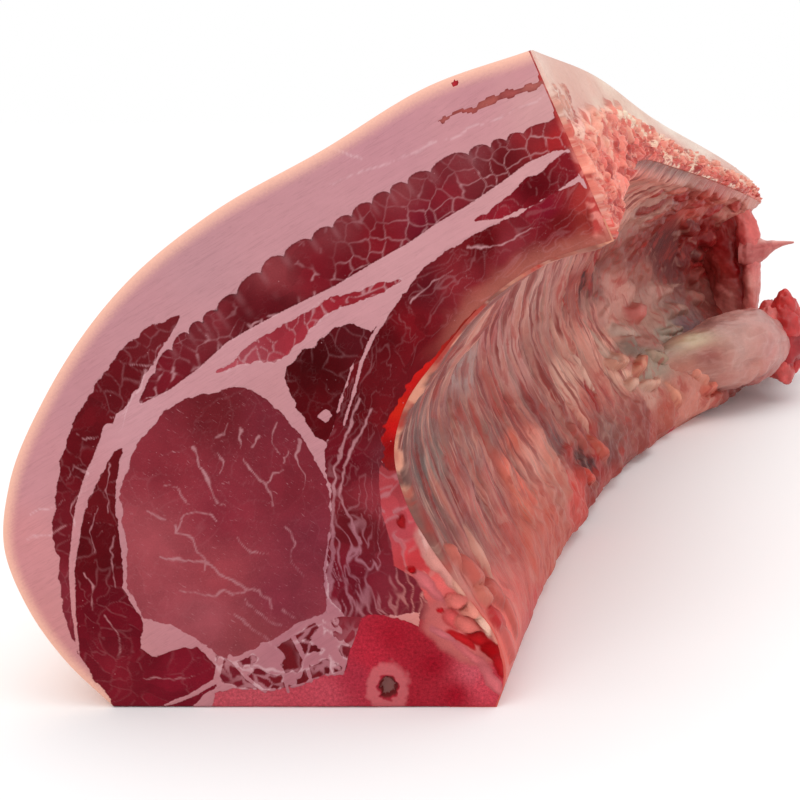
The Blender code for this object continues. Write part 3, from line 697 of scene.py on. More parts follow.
def meat_depths(points):
    """For each point: its muscle's number, its depth in millimetres, a random mark of its bundle, and how
    strongly a white line shows there."""
    names = list(MEATS)
    own = np.stack([sdf(points, MEATS[name][0]) + GROWN.get(name, 0) for name in names])
    own += 0.45 * drift(points, 2.6, 31) + 0.3 * drift(points, 1.1, 32)
    mark, veil = np.full(len(points), 0.5), np.zeros(len(points))
    band, band_own, band_mark, band_veil = band_depth(points)
    which = own.argmax(axis=0)
    depth = own.max(axis=0)
    for muscle, low, high, long, wide, lean, half, strength in THREADS:
        here = np.flatnonzero((which == names.index(muscle)) & (points[:, 1] >= low) & (points[:, 1] < high))
        bent = wobbled(wobbled(points[here], 3.4, 15, 41), 0.9, 3.4, 42)
        edge, _, found = bundles(bent, long, wide, lean, len(names) + int(low), 0.48)
        veil[here] = strength * faint(edge, half, points[here], 9, 51)
        mark[here] = found
        if muscle == "back":
            depth[here] = np.minimum(depth[here], 0.75 + 2.6 * rough(bent * (0.75, 1.0), 6.0, 44, 3))
        if muscle == "rib band":
            turn = radians(lean)
            axes = np.array([[np.cos(turn), np.sin(turn)], [-np.sin(turn), np.cos(turn)]])
            ridge = np.abs(rough(bent @ axes.T / (13.0, 2.6), 1.0, 45, 2))
            more = smoothstep((92 - points[here, 1]) / 46)
            streak = np.clip(1.3 - ridge / (0.07 + 0.12 * more), 0, 1) * (0.16 + 0.62 * more)
            veil[here] = np.maximum(veil[here], streak * (1 + 0.4 * drift(points[here], 7, 49)))
    in_band = band > depth
    which = np.where(in_band | ((depth < 0) & (band_own > -1)), len(names), which)
    mark = np.where(which == len(names), band_mark, mark)
    veil = np.where(which == len(names), band_veil, veil)
    depth = np.maximum(depth, band)
    veil *= smoothstep(1 + depth / 0.8)
    bent = wobbled(wobbled(points, 0.9, 5.5, 47), 0.35, 1.9, 48)
    for (wide, narrow), lines in SINEWS.items():
        for line in lines:
            inside = line_depth(bent if wide < THIN else points, line, wide, narrow)
            inside = inside + 0.2 * drift(points, 2.6, 53)
            if wide < THIN:
                veil = np.maximum(veil, np.clip((inside + 0.1) / 0.5, 0, 0.8 + 0.2 * drift(points, 5, 57)))
            else:
                depth = np.minimum(depth, -inside)
    for patch in FAT_PATCHES:
        depth = np.minimum(depth, -sdf(points, patch) + 0.8 * drift(points, 2.5, 54))
    return which, depth, mark, veil


which, depths, _, _ = meat_depths(np.array([(-95.0, 65.0)]))
print("the middle of the loin eye is in the", list(MEATS)[which[0]], "and %.1f mm deep" % depths[0])

# %% Lumps of fat and blood by the chine
# across, up, how far it stands off, half length, half width, half thickness, turn
# in degrees, taper, and the tone
CUT_LUMPS = [
    (-19, 201, 0, 3.4, 1.0, 0.1, 20, 0.3, 164, 84, 80), (-12.5, 203.2, 0, 5, 1.3, 0.1, 20, 0.3, 160, 76, 72),
    (-5, 206, 0, 5, 1.5, 0.1, 18, 0.3, 166, 84, 78), (2.5, 208.6, 0, 4.6, 1.5, 0.1, 20, 0.3, 160, 76, 74),
    (8.5, 210.6, 0, 4, 1.2, 0.1, 16, 0.3, 170, 92, 86), (-15.8, 211.5, 0, 1.1, 1.3, 0, 0, 0, 176, 40, 50),
    (-12, 28, 0, 17, 11, 0.4, -42, 0.2, 206, 104, 102), (-21, 56, 0, 13, 5.0, 0.8, -62, 0.4, 216, 138, 132),
    (-25, 62, 0, 9, 1.8, 0.5, -70, 0.4, 226, 166, 158), (-17, 50, 0, 11, 4.6, 1.2, -50, 0.3, 222, 148, 138),
    (-24, 45, 0, 8, 2.6, 0.5, -50, 0.3, 206, 104, 108), (-11, 44, 0.2, 6, 4.2, 2.2, -50, 0.2, 230, 160, 142),
    (-14, 39, 0.2, 5, 3.4, 1.8, -20, 0.2, 220, 112, 104), (-6, 41, 0.3, 6, 4.6, 2.8, -60, 0.1, 234, 176, 156),
    (-8, 35.5, 0.3, 5.4, 3.8, 2.6, -10, 0.1, 226, 138, 122), (-2, 36, 0.3, 5, 4.0, 2.4, -80, 0.1, 222, 120, 104),
    (-15.5, 33, 0, 4.6, 3.0, 1.2, -50, 0.2, 208, 84, 84), (-3, 30, 0.3, 5.6, 3.6, 2.2, -30, 0.1, 236, 182, 162),
    (-10, 30.5, 0, 5, 2.8, 1.6, -30, 0.2, 216, 110, 102), (1.5, 26, 0.2, 5, 3.6, 2.0, -70, 0.2, 226, 138, 124),
    (-6, 25.5, 0, 6, 2.4, 0.8, -20, 0.3, 176, 20, 26), (-1, 21, 0, 5.6, 3.4, 0.9, -40, 0.2, 160, 6, 14),
    (-12, 25.5, 0, 6, 2.4, 0.5, -34, 0.4, 186, 26, 32), (2, 15, 0, 6, 2.8, 1.2, -70, 0.3, 176, 20, 28),
    (-8, 18.5, 0, 9, 1.9, 0.4, -38, 0.4, 204, 100, 104), (-1, 9, 0, 9, 2.6, 0.6, -56, 0.4, 210, 104, 110),
    (-18, 27, 0, 6, 1.7, 0.4, -36, 0.4, 202, 104, 110), (-20, 36, 0, 1.2, 1.0, 0.4, 0, 0, 190, 24, 34),
    (-4.5, 38.6, 0.3, 3.4, 0.7, 1.6, -50, 0.2, 248, 220, 206),
    (-9.5, 42, 0.3, 3.0, 0.6, 1.6, -30, 0.2, 246, 214, 198), (-29, 50.5, 0.2, 1.6, 1.5, 1.0, 0, 0, 176, 14, 22),
    (-32.5, 67, 0, 1.4, 2.6, 0.6, 0, 0, 160, 24, 30),
]


def embossed(points, rows, tone, seed, wander=1.6):
    """Lumps that belong to a surface: its height in millimetres, its tone, and how far it is covered.

    Each lump adds a smooth dome of c * c * (3 - 2c), where c is 1.1 - q * q and q is the distance from its
    middle over its half sizes, and paints its tone, lighter in the middle and darker towards the rim as painted
    light and shade on the dome. The points are moved about by waves first, so that no lump is a plain oval.
    """
    bent = wobbled(wobbled(points, wander, 6 * wander, seed), 0.3 * wander, 2.2 * wander, seed + 20)
    height, tone, cover = np.zeros(points.shape[:-1]), tone.copy(), np.zeros(points.shape[:-1])
    for first, second, off, long, wide, thick, turn, taper, *colour in rows:
        near = np.flatnonzero((np.abs(bent - (first, second)).max(axis=-1) < 1.5 * max(long, wide)).reshape(-1))
        away = bent.reshape(-1, 2)[near] - (first, second)
        one, two = turned(away, turn)
        one = one / long
        two = two / (wide * np.maximum(1 - taper * (0.5 + 0.5 * one), 0.15))
        q = np.hypot(one, two)
        share = smoothstep((1.12 - q) / 0.30)
        shape = (0.3 * off + 0.8 * thick) * smoothstep(1.1 - q**2)
        height.reshape(-1)[near] = np.maximum(height.reshape(-1)[near] * (1 - 0.45 * share), shape)
        painted = tone.reshape(-1, 3)
        # the lump's tone is scaled from 0.72 at its rim to 1.06 in its middle: painted light and shade on the dome
        own = linear(colour) * (0.72 + 0.34 * np.clip(1 - q, 0, 1))[:, None]
        painted[near] += (own - painted[near]) * share[:, None]
        cover.reshape(-1)[near] = np.maximum(cover.reshape(-1)[near], share)
    return height, tone, cover


print(len(CUT_LUMPS), "lumps and stains on the cut")


# %% Paint the cut
def paint_cut(points):
    """Everything the cut's material needs at each point: depth in the meat, tones, and kinds of detail."""
    which, depth, mark, veil = meat_depths(points)
    names = list(MEATS)
    hollow = -line_depth(points, HOLLOW_LINE, 0, 0)
    high = points[:, 1]
    width = 0.8 + 3.4 * smoothstep((136 - high) / 40)
    width = width * (1 + 0.35 * drift(points, 4, 58) + 0.25 * drift(points, 1.5, 59))
    stripe, rib = names.index("stripe"), names.index("rib band")
    which = np.where((which == stripe) & (hollow > width), rib, which)
    depth = np.where((which == rib) & (hollow > width) & (high > 84) & (hollow < 9), np.maximum(depth, 0.5), depth)
    which = np.where((which == rib) & (hollow < width) & (high > 84) & (high < 138), stripe, which)
    tone = np.zeros((len(points), 3))
    for number, name in enumerate([*names, "band"]):
        here = which == number
        if here.any():
            tones = BAND_TONES if name == "band" else MEATS[name][1]
            tone[here] = blended(points[here], tones)
    kinds = np.zeros((len(points), 3))
    kinds[:, 0] = which == names.index("bone")
    kinds[:, 1] = which == names.index("eye")
    kinds[:, 2] = which == len(names)
    tone *= (1 + 0.24 * (mark - 0.5) * (1 - 0.7 * kinds[:, 1]))[:, None]
    by_belly = -line_depth(points, LOIN_OUTLINE[[-1, 0]], 0, 0)
    fringe = 0.8 + 3.4 * smoothstep((178 - high) / 9) * smoothstep((high - 150) / 6)
    fringe = fringe * (1 + 0.7 * rough(points, 4.5, 35, 3))
    shreds = smoothstep(0.5 + 1.5 * drift(wobbled(points, 2, 5, 36), 2.2, 37))[:, None]
    torn_tone = linear((208, 134, 120)) * shreds + linear((172, 68, 62)) * (1 - shreds)
    fringe = smoothstep(0.5 + (fringe - by_belly) / 3.0)
    tone += (torn_tone - tone) * fringe[:, None]
    depth = np.where(fringe > 0.3, np.maximum(depth, 1.5 * fringe), depth)
    veil = veil * (1 - fringe)
    tone *= MEAT_SHADE
    thin = smoothstep(1.15 - hollow / (7 + 2 * drift(points, 5, 56))) * (which == names.index("rib band"))
    tone += (linear((166, 92, 80)) - tone) * (0.8 * thin * smoothstep((points[:, 1] - 120) / 18))[:, None]
    swell, lump_tone, share = embossed(points, CUT_LUMPS, tone, 43, 0.8)
    swell = swell * LUMP_RELIEF
    tone, depth = lump_tone, np.where(share > 0.2, np.maximum(depth, 4 * share), depth)
    veil = veil * (1 - share)
    kinds *= (1 - share)[:, None]
    canal = np.linalg.norm((points - CANAL) / CANAL_SIZE, axis=1)
    return {
        "swell": swell, "depth": depth, "veil": veil, "tone": tone, "kinds": kinds,
        "fat_tone": blended(points, FAT_TONES) * FAT_SHADE, "rim": sdf(points, LOIN_OUTLINE),
        "skin": -line_depth(points, SKIN_LINE, 0, 0),
        "canal": canal + 0.22 * drift(points, 2, 55) + 0.12 * drift(points, 0.9, 60),
    }


# %% [markdown]
# ## From a drawn layer to a closed solid
#
# A layer on the cut is a grid between two lines. The same grid closes the far end, and the edge of the grid,
# carried along the loin, makes the side walls. It could be an extruded curve, but then the cut would have no
# points inside to carry the relief and the drawing. So the whole surface is built from arrays: a fine grid in
# front, the walls, and the same grid behind.

# %% Build a closed mesh from grids
RIM_RADIUS = 1.6
LONG_RINGS = 14


def resampled(line, count):
    """The line read at count even steps of its own length."""
    return np.stack([np.interp(np.linspace(0, 1, count), shares_along(line), line[:, i]) for i in (0, 1)], axis=1)


def grid_cells(rows, columns, start=0):
    """The corners of each cell of a grid whose points are numbered row by row."""
    at = start + np.arange(rows * columns).reshape(rows, columns)
    return joined(at[:-1, :-1], at[1:, :-1], at[1:, 1:], at[:-1, 1:]).reshape(-1, 4)


def ring_cells(at):
    """The corners of each cell between rings of points: the last point of a ring meets the first again."""
    after = np.roll(at, -1, axis=1)
    return joined(at[:-1], at[1:], after[1:], after[:-1]).reshape(-1, 4)


def edge_loop(rows, columns):
    """The numbers of a grid's outer points, once round: up the first column, along the last row, and back."""
    at = np.arange(rows * columns).reshape(rows, columns)
    return np.concatenate([at[:-1, 0], at[-1, :-1], at[:0:-1, -1], at[0, :0:-1]])


def mesh_from(name, points, cells, values=()):
    """A closed mesh: doubled points are joined, each cell becomes two triangles, empty ones are dropped,
    and all are turned round if the volume inside comes out below 0, so that they face outwards.

    values holds what each point carries into the material: name, then one or three numbers per point.
    """
    _, first, joined = np.unique(np.round(points / MM, 4), axis=0, return_index=True, return_inverse=True)
    cells = joined.reshape(-1)[cells]
    triangles = np.concatenate([cells[:, [0, 1, 2]], cells[:, [0, 2, 3]]]) if cells.shape[1] == 4 else cells
    a, b, c = triangles.T
    triangles = triangles[(a != b) & (b != c) & (c != a)]
    corners = points[first][triangles]
    volume = (np.cross(corners[:, 0], corners[:, 1]) * corners[:, 2]).sum()
    if volume < 0:
        triangles = triangles[:, ::-1]
    mesh = bpy.data.meshes.new(name)
    mesh.vertices.add(len(first))
    mesh.vertices.foreach_set("co", points[first].astype(np.float32).reshape(-1))
    mesh.loops.add(len(triangles) * 3)
    mesh.loops.foreach_set("vertex_index", triangles.reshape(-1).astype(np.int32))
    mesh.polygons.add(len(triangles))
    mesh.polygons.foreach_set("loop_start", np.arange(0, len(triangles) * 3, 3, dtype=np.int32))
    mesh.update(calc_edges=True)
    mesh.validate()
    for value, numbers in dict(values).items():
        numbers = np.asarray(numbers, np.float32)[first]
        kind, field = ("FLOAT", "value") if numbers.ndim == 1 else ("FLOAT_VECTOR", "vector")
        mesh.attributes.new(value, kind, "POINT").data.foreach_set(field, numbers.reshape(-1))
    mesh.shade_smooth()
    mesh.set_sharp_from_angle(angle=radians(62))
    piece = bpy.data.objects.new(name, mesh)
    bpy.context.scene.collection.objects.link(piece)
    return piece


def finished(piece, finish, slot_name, *nodes):
    """The piece takes its finish, rides on the loin and stands for its nodes. Its slot name is not used."""
    piece.data.materials.append(finish)
    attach(piece, "root")
    if nodes:
        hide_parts(*nodes)
    print("%-22s %7d triangles" % (piece.name, len(piece.data.polygons)))


def cut_relief(points, values):
    """How far the cut stands out, in millimetres, at points on it.

    It rounds over at the rim by a quarter circle, sinks at the canal, swells where fat lies, and waves.
    """
    inward = np.clip(1 - values["rim"] / RIM_RADIUS, 0, 1)
    relief = -RIM_RADIUS * (1 - np.sqrt(1 - inward**2))
    relief -= 3.5 * smoothstep((1.06 - values["canal"]) / 0.5)
    relief += 0.16 * smoothstep(0.5 - values["depth"] / 0.8) + 0.3 * rough(points, 22, 71) * (1 - inward)
    relief += values["swell"] * (1 - 0.7 * inward)
    return relief + 0.10 * rough(points, 2.4, 75) * (1 - inward)


def cut_layer(name, cell):
    """A layer's closed solid: a grid between its two lines at both ends, and its edge carried along."""
    outer, inner = (border(*names) for names in LAYERS[name])
    lengths = [np.linalg.norm(np.diff(line, axis=0), axis=1).sum() for line in (outer, inner)]
    widest = np.linalg.norm(resampled(outer, 60) - resampled(inner, 60), axis=1).max()
    rows, columns = int(max(lengths) / cell) + 1, int(widest / cell) + 2
    outer, inner = resampled(outer, rows), resampled(inner, rows)
    share = np.linspace(0, 1, columns)[None, :, None]
    section = (outer[:, None] * (1 - share) + inner[:, None] * share).reshape(-1, 2)
    values = paint_cut(section)
    relief = cut_relief(section, values) * MM
    loop = edge_loop(rows, columns)
    up, out = up_and_out(section)
    along = np.linspace(0, 1, LONG_RINGS)[1:-1]
    first, last = place(up, out, 0), place(up, out, 1)
    first[:, 1] -= relief
    heading = np.radians(ALONG[-1, 2])
    last += relief[:, None] * [np.sin(heading), np.cos(heading), 0]
    walls = place(up[loop], out[loop], along[:, None]).reshape(-1, 3)
    points = np.concatenate([first, walls, last])
    caps, count = len(section), len(loop)
    ring = np.concatenate([
        loop[None], caps + np.arange(len(walls)).reshape(-1, count), loop[None] + caps + len(walls),
    ])
    front_cells = grid_cells(rows, columns)
    cells = np.concatenate([front_cells, ring_cells(ring), front_cells[:, ::-1] + caps + len(walls)])
    a, b = section[loop], section[np.roll(loop, -1)]
    if (a[:, 0] * b[:, 1] - b[:, 0] * a[:, 1]).sum() < 0:
        cells = cells[:, ::-1]
    carried = np.concatenate([np.arange(caps), np.tile(loop, len(along)), np.arange(caps)])
    values = {key: numbers[carried] for key, numbers in values.items()}
    depth_in = np.concatenate([np.zeros(caps), np.repeat(along, count), np.ones(caps)]) * LENGTH
    values["section"] = np.column_stack([section[carried], depth_in])
    return mesh_from(name, points, cells, values)


print("a rim of %.1f mm is rounded all round the cut" % RIM_RADIUS)

# %% [markdown]
# ## The finish of the cut
#
# Fresh meat is moist but not shiny, and its colour comes from what it is made of: dark lean, white fat,
# whiter sinew. The material gets depth and tones from the mesh and adds what is smaller than the mesh: the
# ragged edge between lean and fat, the fibre ends, and the specks of fat. All noise reads the place on the
# cut in millimetres, so the pattern stays in the meat wherever the piece goes.

# %% Short words for shader nodes
class Result:
    """What a node gives. It can be added, taken away and multiplied, which adds a Math node each time."""

    def __init__(self, finish, socket):
        self.finish, self.socket = finish, socket

    def __add__(self, other):
        return self.finish.math("ADD", self, other)

    def __sub__(self, other):
        return self.finish.math("SUBTRACT", self, other)

    def __rsub__(self, other):
        return self.finish.math("SUBTRACT", other, self)

    def __mul__(self, other):
        return self.finish.math("MULTIPLY", self, other)


class Finish:
    """A material and short words for its nodes. A plain number, a colour or another node's result can be
    given for any input."""

    def __init__(self, name, **settings):
        """Starts a material with these settings on its shader. An underscore stands for a space."""
        self.material = bpy.data.materials.new(name)
        self.material.use_nodes = True
        self.tree = self.material.node_tree
        self.shader = self.tree.nodes["Principled BSDF"]
        for socket, value in settings.items():
            self.set(self.shader.inputs[socket.replace("_", " ")], value)

    def set(self, socket, value):
        """Gives a socket another node's result, a colour or place, or a plain number."""
        if isinstance(value, Result):
            self.tree.links.new(value.socket, socket)
        elif isinstance(value, (tuple, list, np.ndarray)):
            full = [float(number) for number in value]
            size = len(socket.default_value)
            socket.default_value = full + [1.0] * (size - len(full))
        else:
            socket.default_value = float(value)

    def node(self, kind, inputs=(), output=0, **settings):
        """Adds a node with its settings and inputs, and gives one of its results."""
        made = self.tree.nodes.new("ShaderNode" + kind)
        for key, value in settings.items():
            setattr(made, key, value)
        for key, value in dict(inputs).items():
            self.set(made.inputs[key], value)
        return Result(self, made.outputs[output])

    def math(self, operation, a, b=0.0, c=0.0):
        """One sum on up to three numbers, named as Blender names it."""
        return self.node("Math", {0: a, 1: b, 2: c}, operation=operation)

    def carried(self, name, field="Vector"):
        """What the mesh carries under that name."""
        return self.node("Attribute", attribute_name=name, output={"Color": 0, "Vector": 1, "Fac": 2}[field])

    def parts(self, vector):
        """The three numbers of a vector."""
        first = self.node("SeparateXYZ", {0: vector})
        return [Result(self, output) for output in first.socket.node.outputs]

    def step(self, value, low, high, to=1.0):
        """0 below low and `to` above high, with a smooth step between."""
        return self.node("MapRange", {0: value, 1: low, 2: high, 3: 0.0, 4: to}, interpolation_type="SMOOTHSTEP")

    def stretched(self, where, sizes, turn=0.0):
        """Coordinates turned by that many degrees, then divided by the sizes."""
        turned = self.node("VectorRotate", {"Vector": where, "Axis": (0, 0, 1), "Angle": radians(-turn)})
        return self.node("VectorMath", {0: turned, 1: sizes}, operation="DIVIDE")

    def noise(self, where, size, detail=2.0, rough=0.5, warp=0.0):
        """Soft noise from 0 to 1 with features of about that size."""
        return self.node("TexNoise", {"Vector": where, "Scale": 1 / size, "Detail": detail,
                                      "Roughness": rough, "Distortion": warp})

    def streaks(self, where, sizes, turn, detail, rough, warp=0.0):
        """Soft noise drawn out to those sizes, along axes turned by that many degrees."""
        return self.noise(self.stretched(where, sizes, turn), 1.0, detail, rough, warp)

    def cells(self, where, size=1.0, feature="F1"):
        """The distance to the nearest of scattered seeds, or to the edge of that seed's cell."""
        return self.node("TexVoronoi", {"Vector": where, "Scale": 1 / size}, "Distance", feature=feature)

    def mix(self, share, a, b):
        """Colour a where the share is 0, b where it is 1, and the blend between."""
        return self.node("Mix", {0: share, 6: a, 7: b}, 2, data_type="RGBA")

    def shaded(self, colour, factor):
        """The colour times a number."""
        return self.node("VectorMath", {0: colour, "Scale": factor}, operation="SCALE")

    def done(self, colour, height=None, distance=MM, strength=1.0, **inputs):
        """Sets the colour and other inputs, turns the height into a bump, and gives the material."""
        self.set(self.shader.inputs["Base Color"], colour)
        for socket, value in inputs.items():
            self.set(self.shader.inputs[socket.replace("_", " ")], value)
        if height is not None:
            bump = self.node("Bump", {"Height": height, "Distance": distance, "Strength": strength})
            self.set(self.shader.inputs["Normal"], bump)
        return self.material


# %% The cut: lean, fat, sinew, bone and the canal
def cut_finish():
    """Lean where the carried depth, made ragged by noise, is above 0, and fat where it is below."""
    f = Finish("cut meat and fat", Roughness=0.5, Specular_IOR_Level=0.035)
    where = f.carried("section")
    depth = f.carried("depth", "Fac")
    bone, eye, band = f.parts(f.carried("kinds"))
    skin_near = f.carried("skin", "Fac")
    canal = f.carried("canal", "Fac")
    ragged = f.noise(where, 0.9, 3, 0.6) - 0.5
    edge = f.math("MULTIPLY_ADD", ragged, 0.8, depth)
    lean = f.step(edge, -0.16, 0.16)
    # fibre ends: small cells with faint pale borders, twice as long as wide, and soft blotches
    fibre = f.cells(f.stretched(where, (2.1, 1.3, 6), 33), feature="DISTANCE_TO_EDGE")
    fibre_line = f.step(fibre, 0.10, 0.0)
    grain = f.noise(where, 0.55, 4, 0.7)
    blotch = f.noise(where, 9, 3, 0.55)
    tone = f.carried("tone")
    meat = f.shaded(tone, grain * 0.55 + blotch * 0.5 + 0.475)
    fat_tone = f.carried("fat_tone")
    faint = fibre_line * f.step(f.noise(where, 5, 2), 0.48, 0.75, 0.06)
    meat = f.mix(faint, meat, fat_tone)
    # dark rim inside the bundles of the cap muscle
    darker = f.step(edge, 1.1, 0.1, 0.18) * band
    meat = f.shaded(meat, 1.0 - darker)
    # the thin white lines between bundles
    veil = f.carried("veil", "Fac") * (grain * 0.9 + 0.5)
    meat = f.mix(f.math("MINIMUM", veil, 0.95), meat, f.shaded(fat_tone, 0.92))
    # fine flecks of fat: thin dashes in the eye and dots everywhere
    dashes = f.noise(f.stretched(where, (4.2, 0.9, 9), -33), 0.55, 3, 0.55, 0.6)
    dots = f.cells(where, 2.4)
    fleck = f.step(dashes, 0.635, 0.72, 0.4) * eye
    dot = f.step(dots, 0.12, 0.05, 0.8) * f.step(f.noise(where, 7, 2), 0.52, 0.62)
    meat = f.mix(f.math("MAXIMUM", fleck, dot * 0.6), meat, fat_tone)
    # bone: red sponge, with dark and pale specks
    sponge = f.noise(where, 0.8, 5, 0.75)
    sponge_tone = f.shaded(tone, f.noise(where, 1.1, 4, 0.85) * 2.2 - 0.12)
    sponge_tone = f.mix(f.step(sponge, 0.58, 0.68, 0.28), sponge_tone, (0.50, 0.05, 0.08))
    meat = f.mix(bone, meat, sponge_tone)
    # fat: soft blotches and fine streaks, and a painted peach glow near the skin, as of light shining through the fat
    streak = f.streaks(where, (9, 1.6, 30), 30, 3, 0.6)
    fat_shade = streak * 0.14 + blotch * 0.1
    fat = f.shaded(fat_tone, fat_shade + 0.88)
    fat = f.mix(f.carried("veil", "Fac") * 0.5, fat, tint(226, 190, 194))
    fine_line = f.streaks(where, (26, 1.3, 60), 31, 3, 0.55, 0.4)
    fat = f.shaded(fat, 1.0 - f.step(f.math("ABSOLUTE", fine_line - 0.5), 0.03, 0.0, 0.09))
    # painted glow: within about 5.5 mm of the skin the fat is painted peach, as light shining through it
    peach = f.step(skin_near + ragged * 2.0, 5.5, 0.0, 0.85)
    fat = f.mix(peach, fat, tint(246, 190, 166))
    colour = f.mix(lean, fat, meat)
    # canal of the spinal cord: a pale ring round a dark hole
    in_bone = f.step(canal, 2.5, 1.9, 0.62) * f.step(canal, 1.0, 1.2)
    colour = f.mix(in_bone, colour, tint(208, 112, 116))
    colour = f.mix(f.step(canal, 1.02, 0.85), colour, tint(118, 40, 42))
    colour = f.mix(f.step(canal + ragged * 0.8, 0.72, 0.55, 0.85), colour, tint(160, 112, 108))
    height = lean * -0.45 + grain * 0.35 + sponge * bone * 0.9
    return f.done(colour, height, distance=0.0006, strength=0.5, Roughness=lean * -0.12 + 0.5)


CUT = cut_finish()
CUT_PIECES = [
    ("back_fat", 0.7, "fat"), ("cap_band_muscle", 0.48, "dark_muscle"), ("cap_side_muscle", 0.5, "dark_muscle"),
    ("side_muscle", 0.5, "dark_muscle"), ("seam_fat", 0.52, "seam_fat"), ("loin_eye", 0.62, "eye_muscle"),
    ("spindle_muscle", 0.5, "pale_muscle"), ("leaf_muscle", 0.5, "dark_muscle"),
    ("rib_muscle", 0.45, "dark_muscle"), ("back_muscle", 0.5, "pale_muscle"), ("rib_cage", 0.5, "rib_wall"),
    ("chine_bone", 0.5, "bone"),
]
for node, cell, slot_name in CUT_PIECES:
    layer = cut_layer(node, cell)
    layer.name = node + "_cut"
    finished(layer, CUT, slot_name, node)

# %% [markdown]
# ## Skin, rib lining and belly cut
#
# Three surfaces cover the rest of the loin: the rind outside, the thin wet lining that is drawn over the ribs
# inside, and the rough cut where the belly was taken off. Each is a real layer of its own, so each is a thin
# closed shell: a fine grid on the outside that carries folds and lumps, and a coarse one inside it that
# nobody sees. Displacing the plain walls would have moved the muscles' borders too.

# %% Shells
def lifted(base, height):
    """The grid moved along its own normals by that many millimetres. The normal is the cross product of the
    grid's two slopes."""
    normal = np.cross(np.gradient(base, axis=0), np.gradient(base, axis=1))
    normal /= np.maximum(np.linalg.norm(normal, axis=-1, keepdims=True), 1e-12)
    return base + normal * height[..., None] * MM


def shell(name, outer, inner, values):
    """A closed shell between a fine grid and a coarse one with as many rows. Each row is closed into a ring
    over both, and the two end rings are filled with triangles that zip one side to the other."""
    rows, many = outer.shape[:2]
    few = inner.shape[1]
    ring = many + few
    at = np.arange(rows * ring).reshape(rows, ring)
    after = np.roll(at, -1, axis=1)
    a, b, c, d = (part.reshape(-1) for part in (at[:-1], at[1:], after[1:], after[:-1]))
    walls = np.concatenate([np.stack([a, b, c], axis=1), np.stack([a, c, d], axis=1)])
    i = np.arange(many - 1)
    partner = (i * (few - 1)) // (many - 1)
    following = ((i + 1) * (few - 1)) // (many - 1)
    back = ring - 1
    near = np.stack([i, i + 1, back - partner], axis=1)
    step = following > partner
    far = np.stack([i + 1, back - following, back - partner], axis=1)[step]
    cap = np.concatenate([near, far])
    last = cap[:, ::-1] + (rows - 1) * ring
    points = np.concatenate([outer, inner[:, ::-1]], axis=1).reshape(-1, 3)
    share = ((np.arange(few) * (many - 1)) // (few - 1))[::-1]
    carried = {}
    for key, numbers in values.items():
        grid = numbers.reshape(rows, many, -1)
        whole = np.concatenate([grid, grid[:, share]], axis=1).reshape(rows * ring, -1)
        carried[key] = whole[:, 0] if whole.shape[1] == 1 else whole
    return mesh_from(name, points, np.concatenate([walls, cap, last]), carried)


def anchored(spots, tones, power=3.0):
    """The blend of tones given as (across, along, red, green, blue), for a whole grid of spots."""
    flat = spots.reshape(-1, 2)
    return blended(flat, tones, power).reshape(*spots.shape[:-1], 3)


def humps(spots, rows):
    """The sum of smooth humps. Each row is: two places, two half sizes, a turn in degrees and a height."""
    total = np.zeros(spots.shape[:-1])
    for first, second, long, wide, turn, height in rows:
        one, two = turned(spots - (first, second), turn)
        total += height * np.exp(-(one / long) ** 2 - (two / wide) ** 2)
    return total


# %% [markdown]
# ## The rib lining
#
# Behind the cut the ribs run up the wall like the ribs of a boat, and the shiny lining between them hangs in
# fine pleats. The pleats all run the way the ribs run, so the noise that makes them is stretched along the
# ribs: a few millimetres across, and a hand's breadth along.

# %% Rib lining
RIB_COUNT, RIB_PITCH, RIB_LEAN, RIB_HEIGHT = 12, 0.048, 0.05, 2.4
WALL_HEIGHT, WALL_LENGTH = 250.0, 690.0  # millimetres that up and along stand for on the rib wall
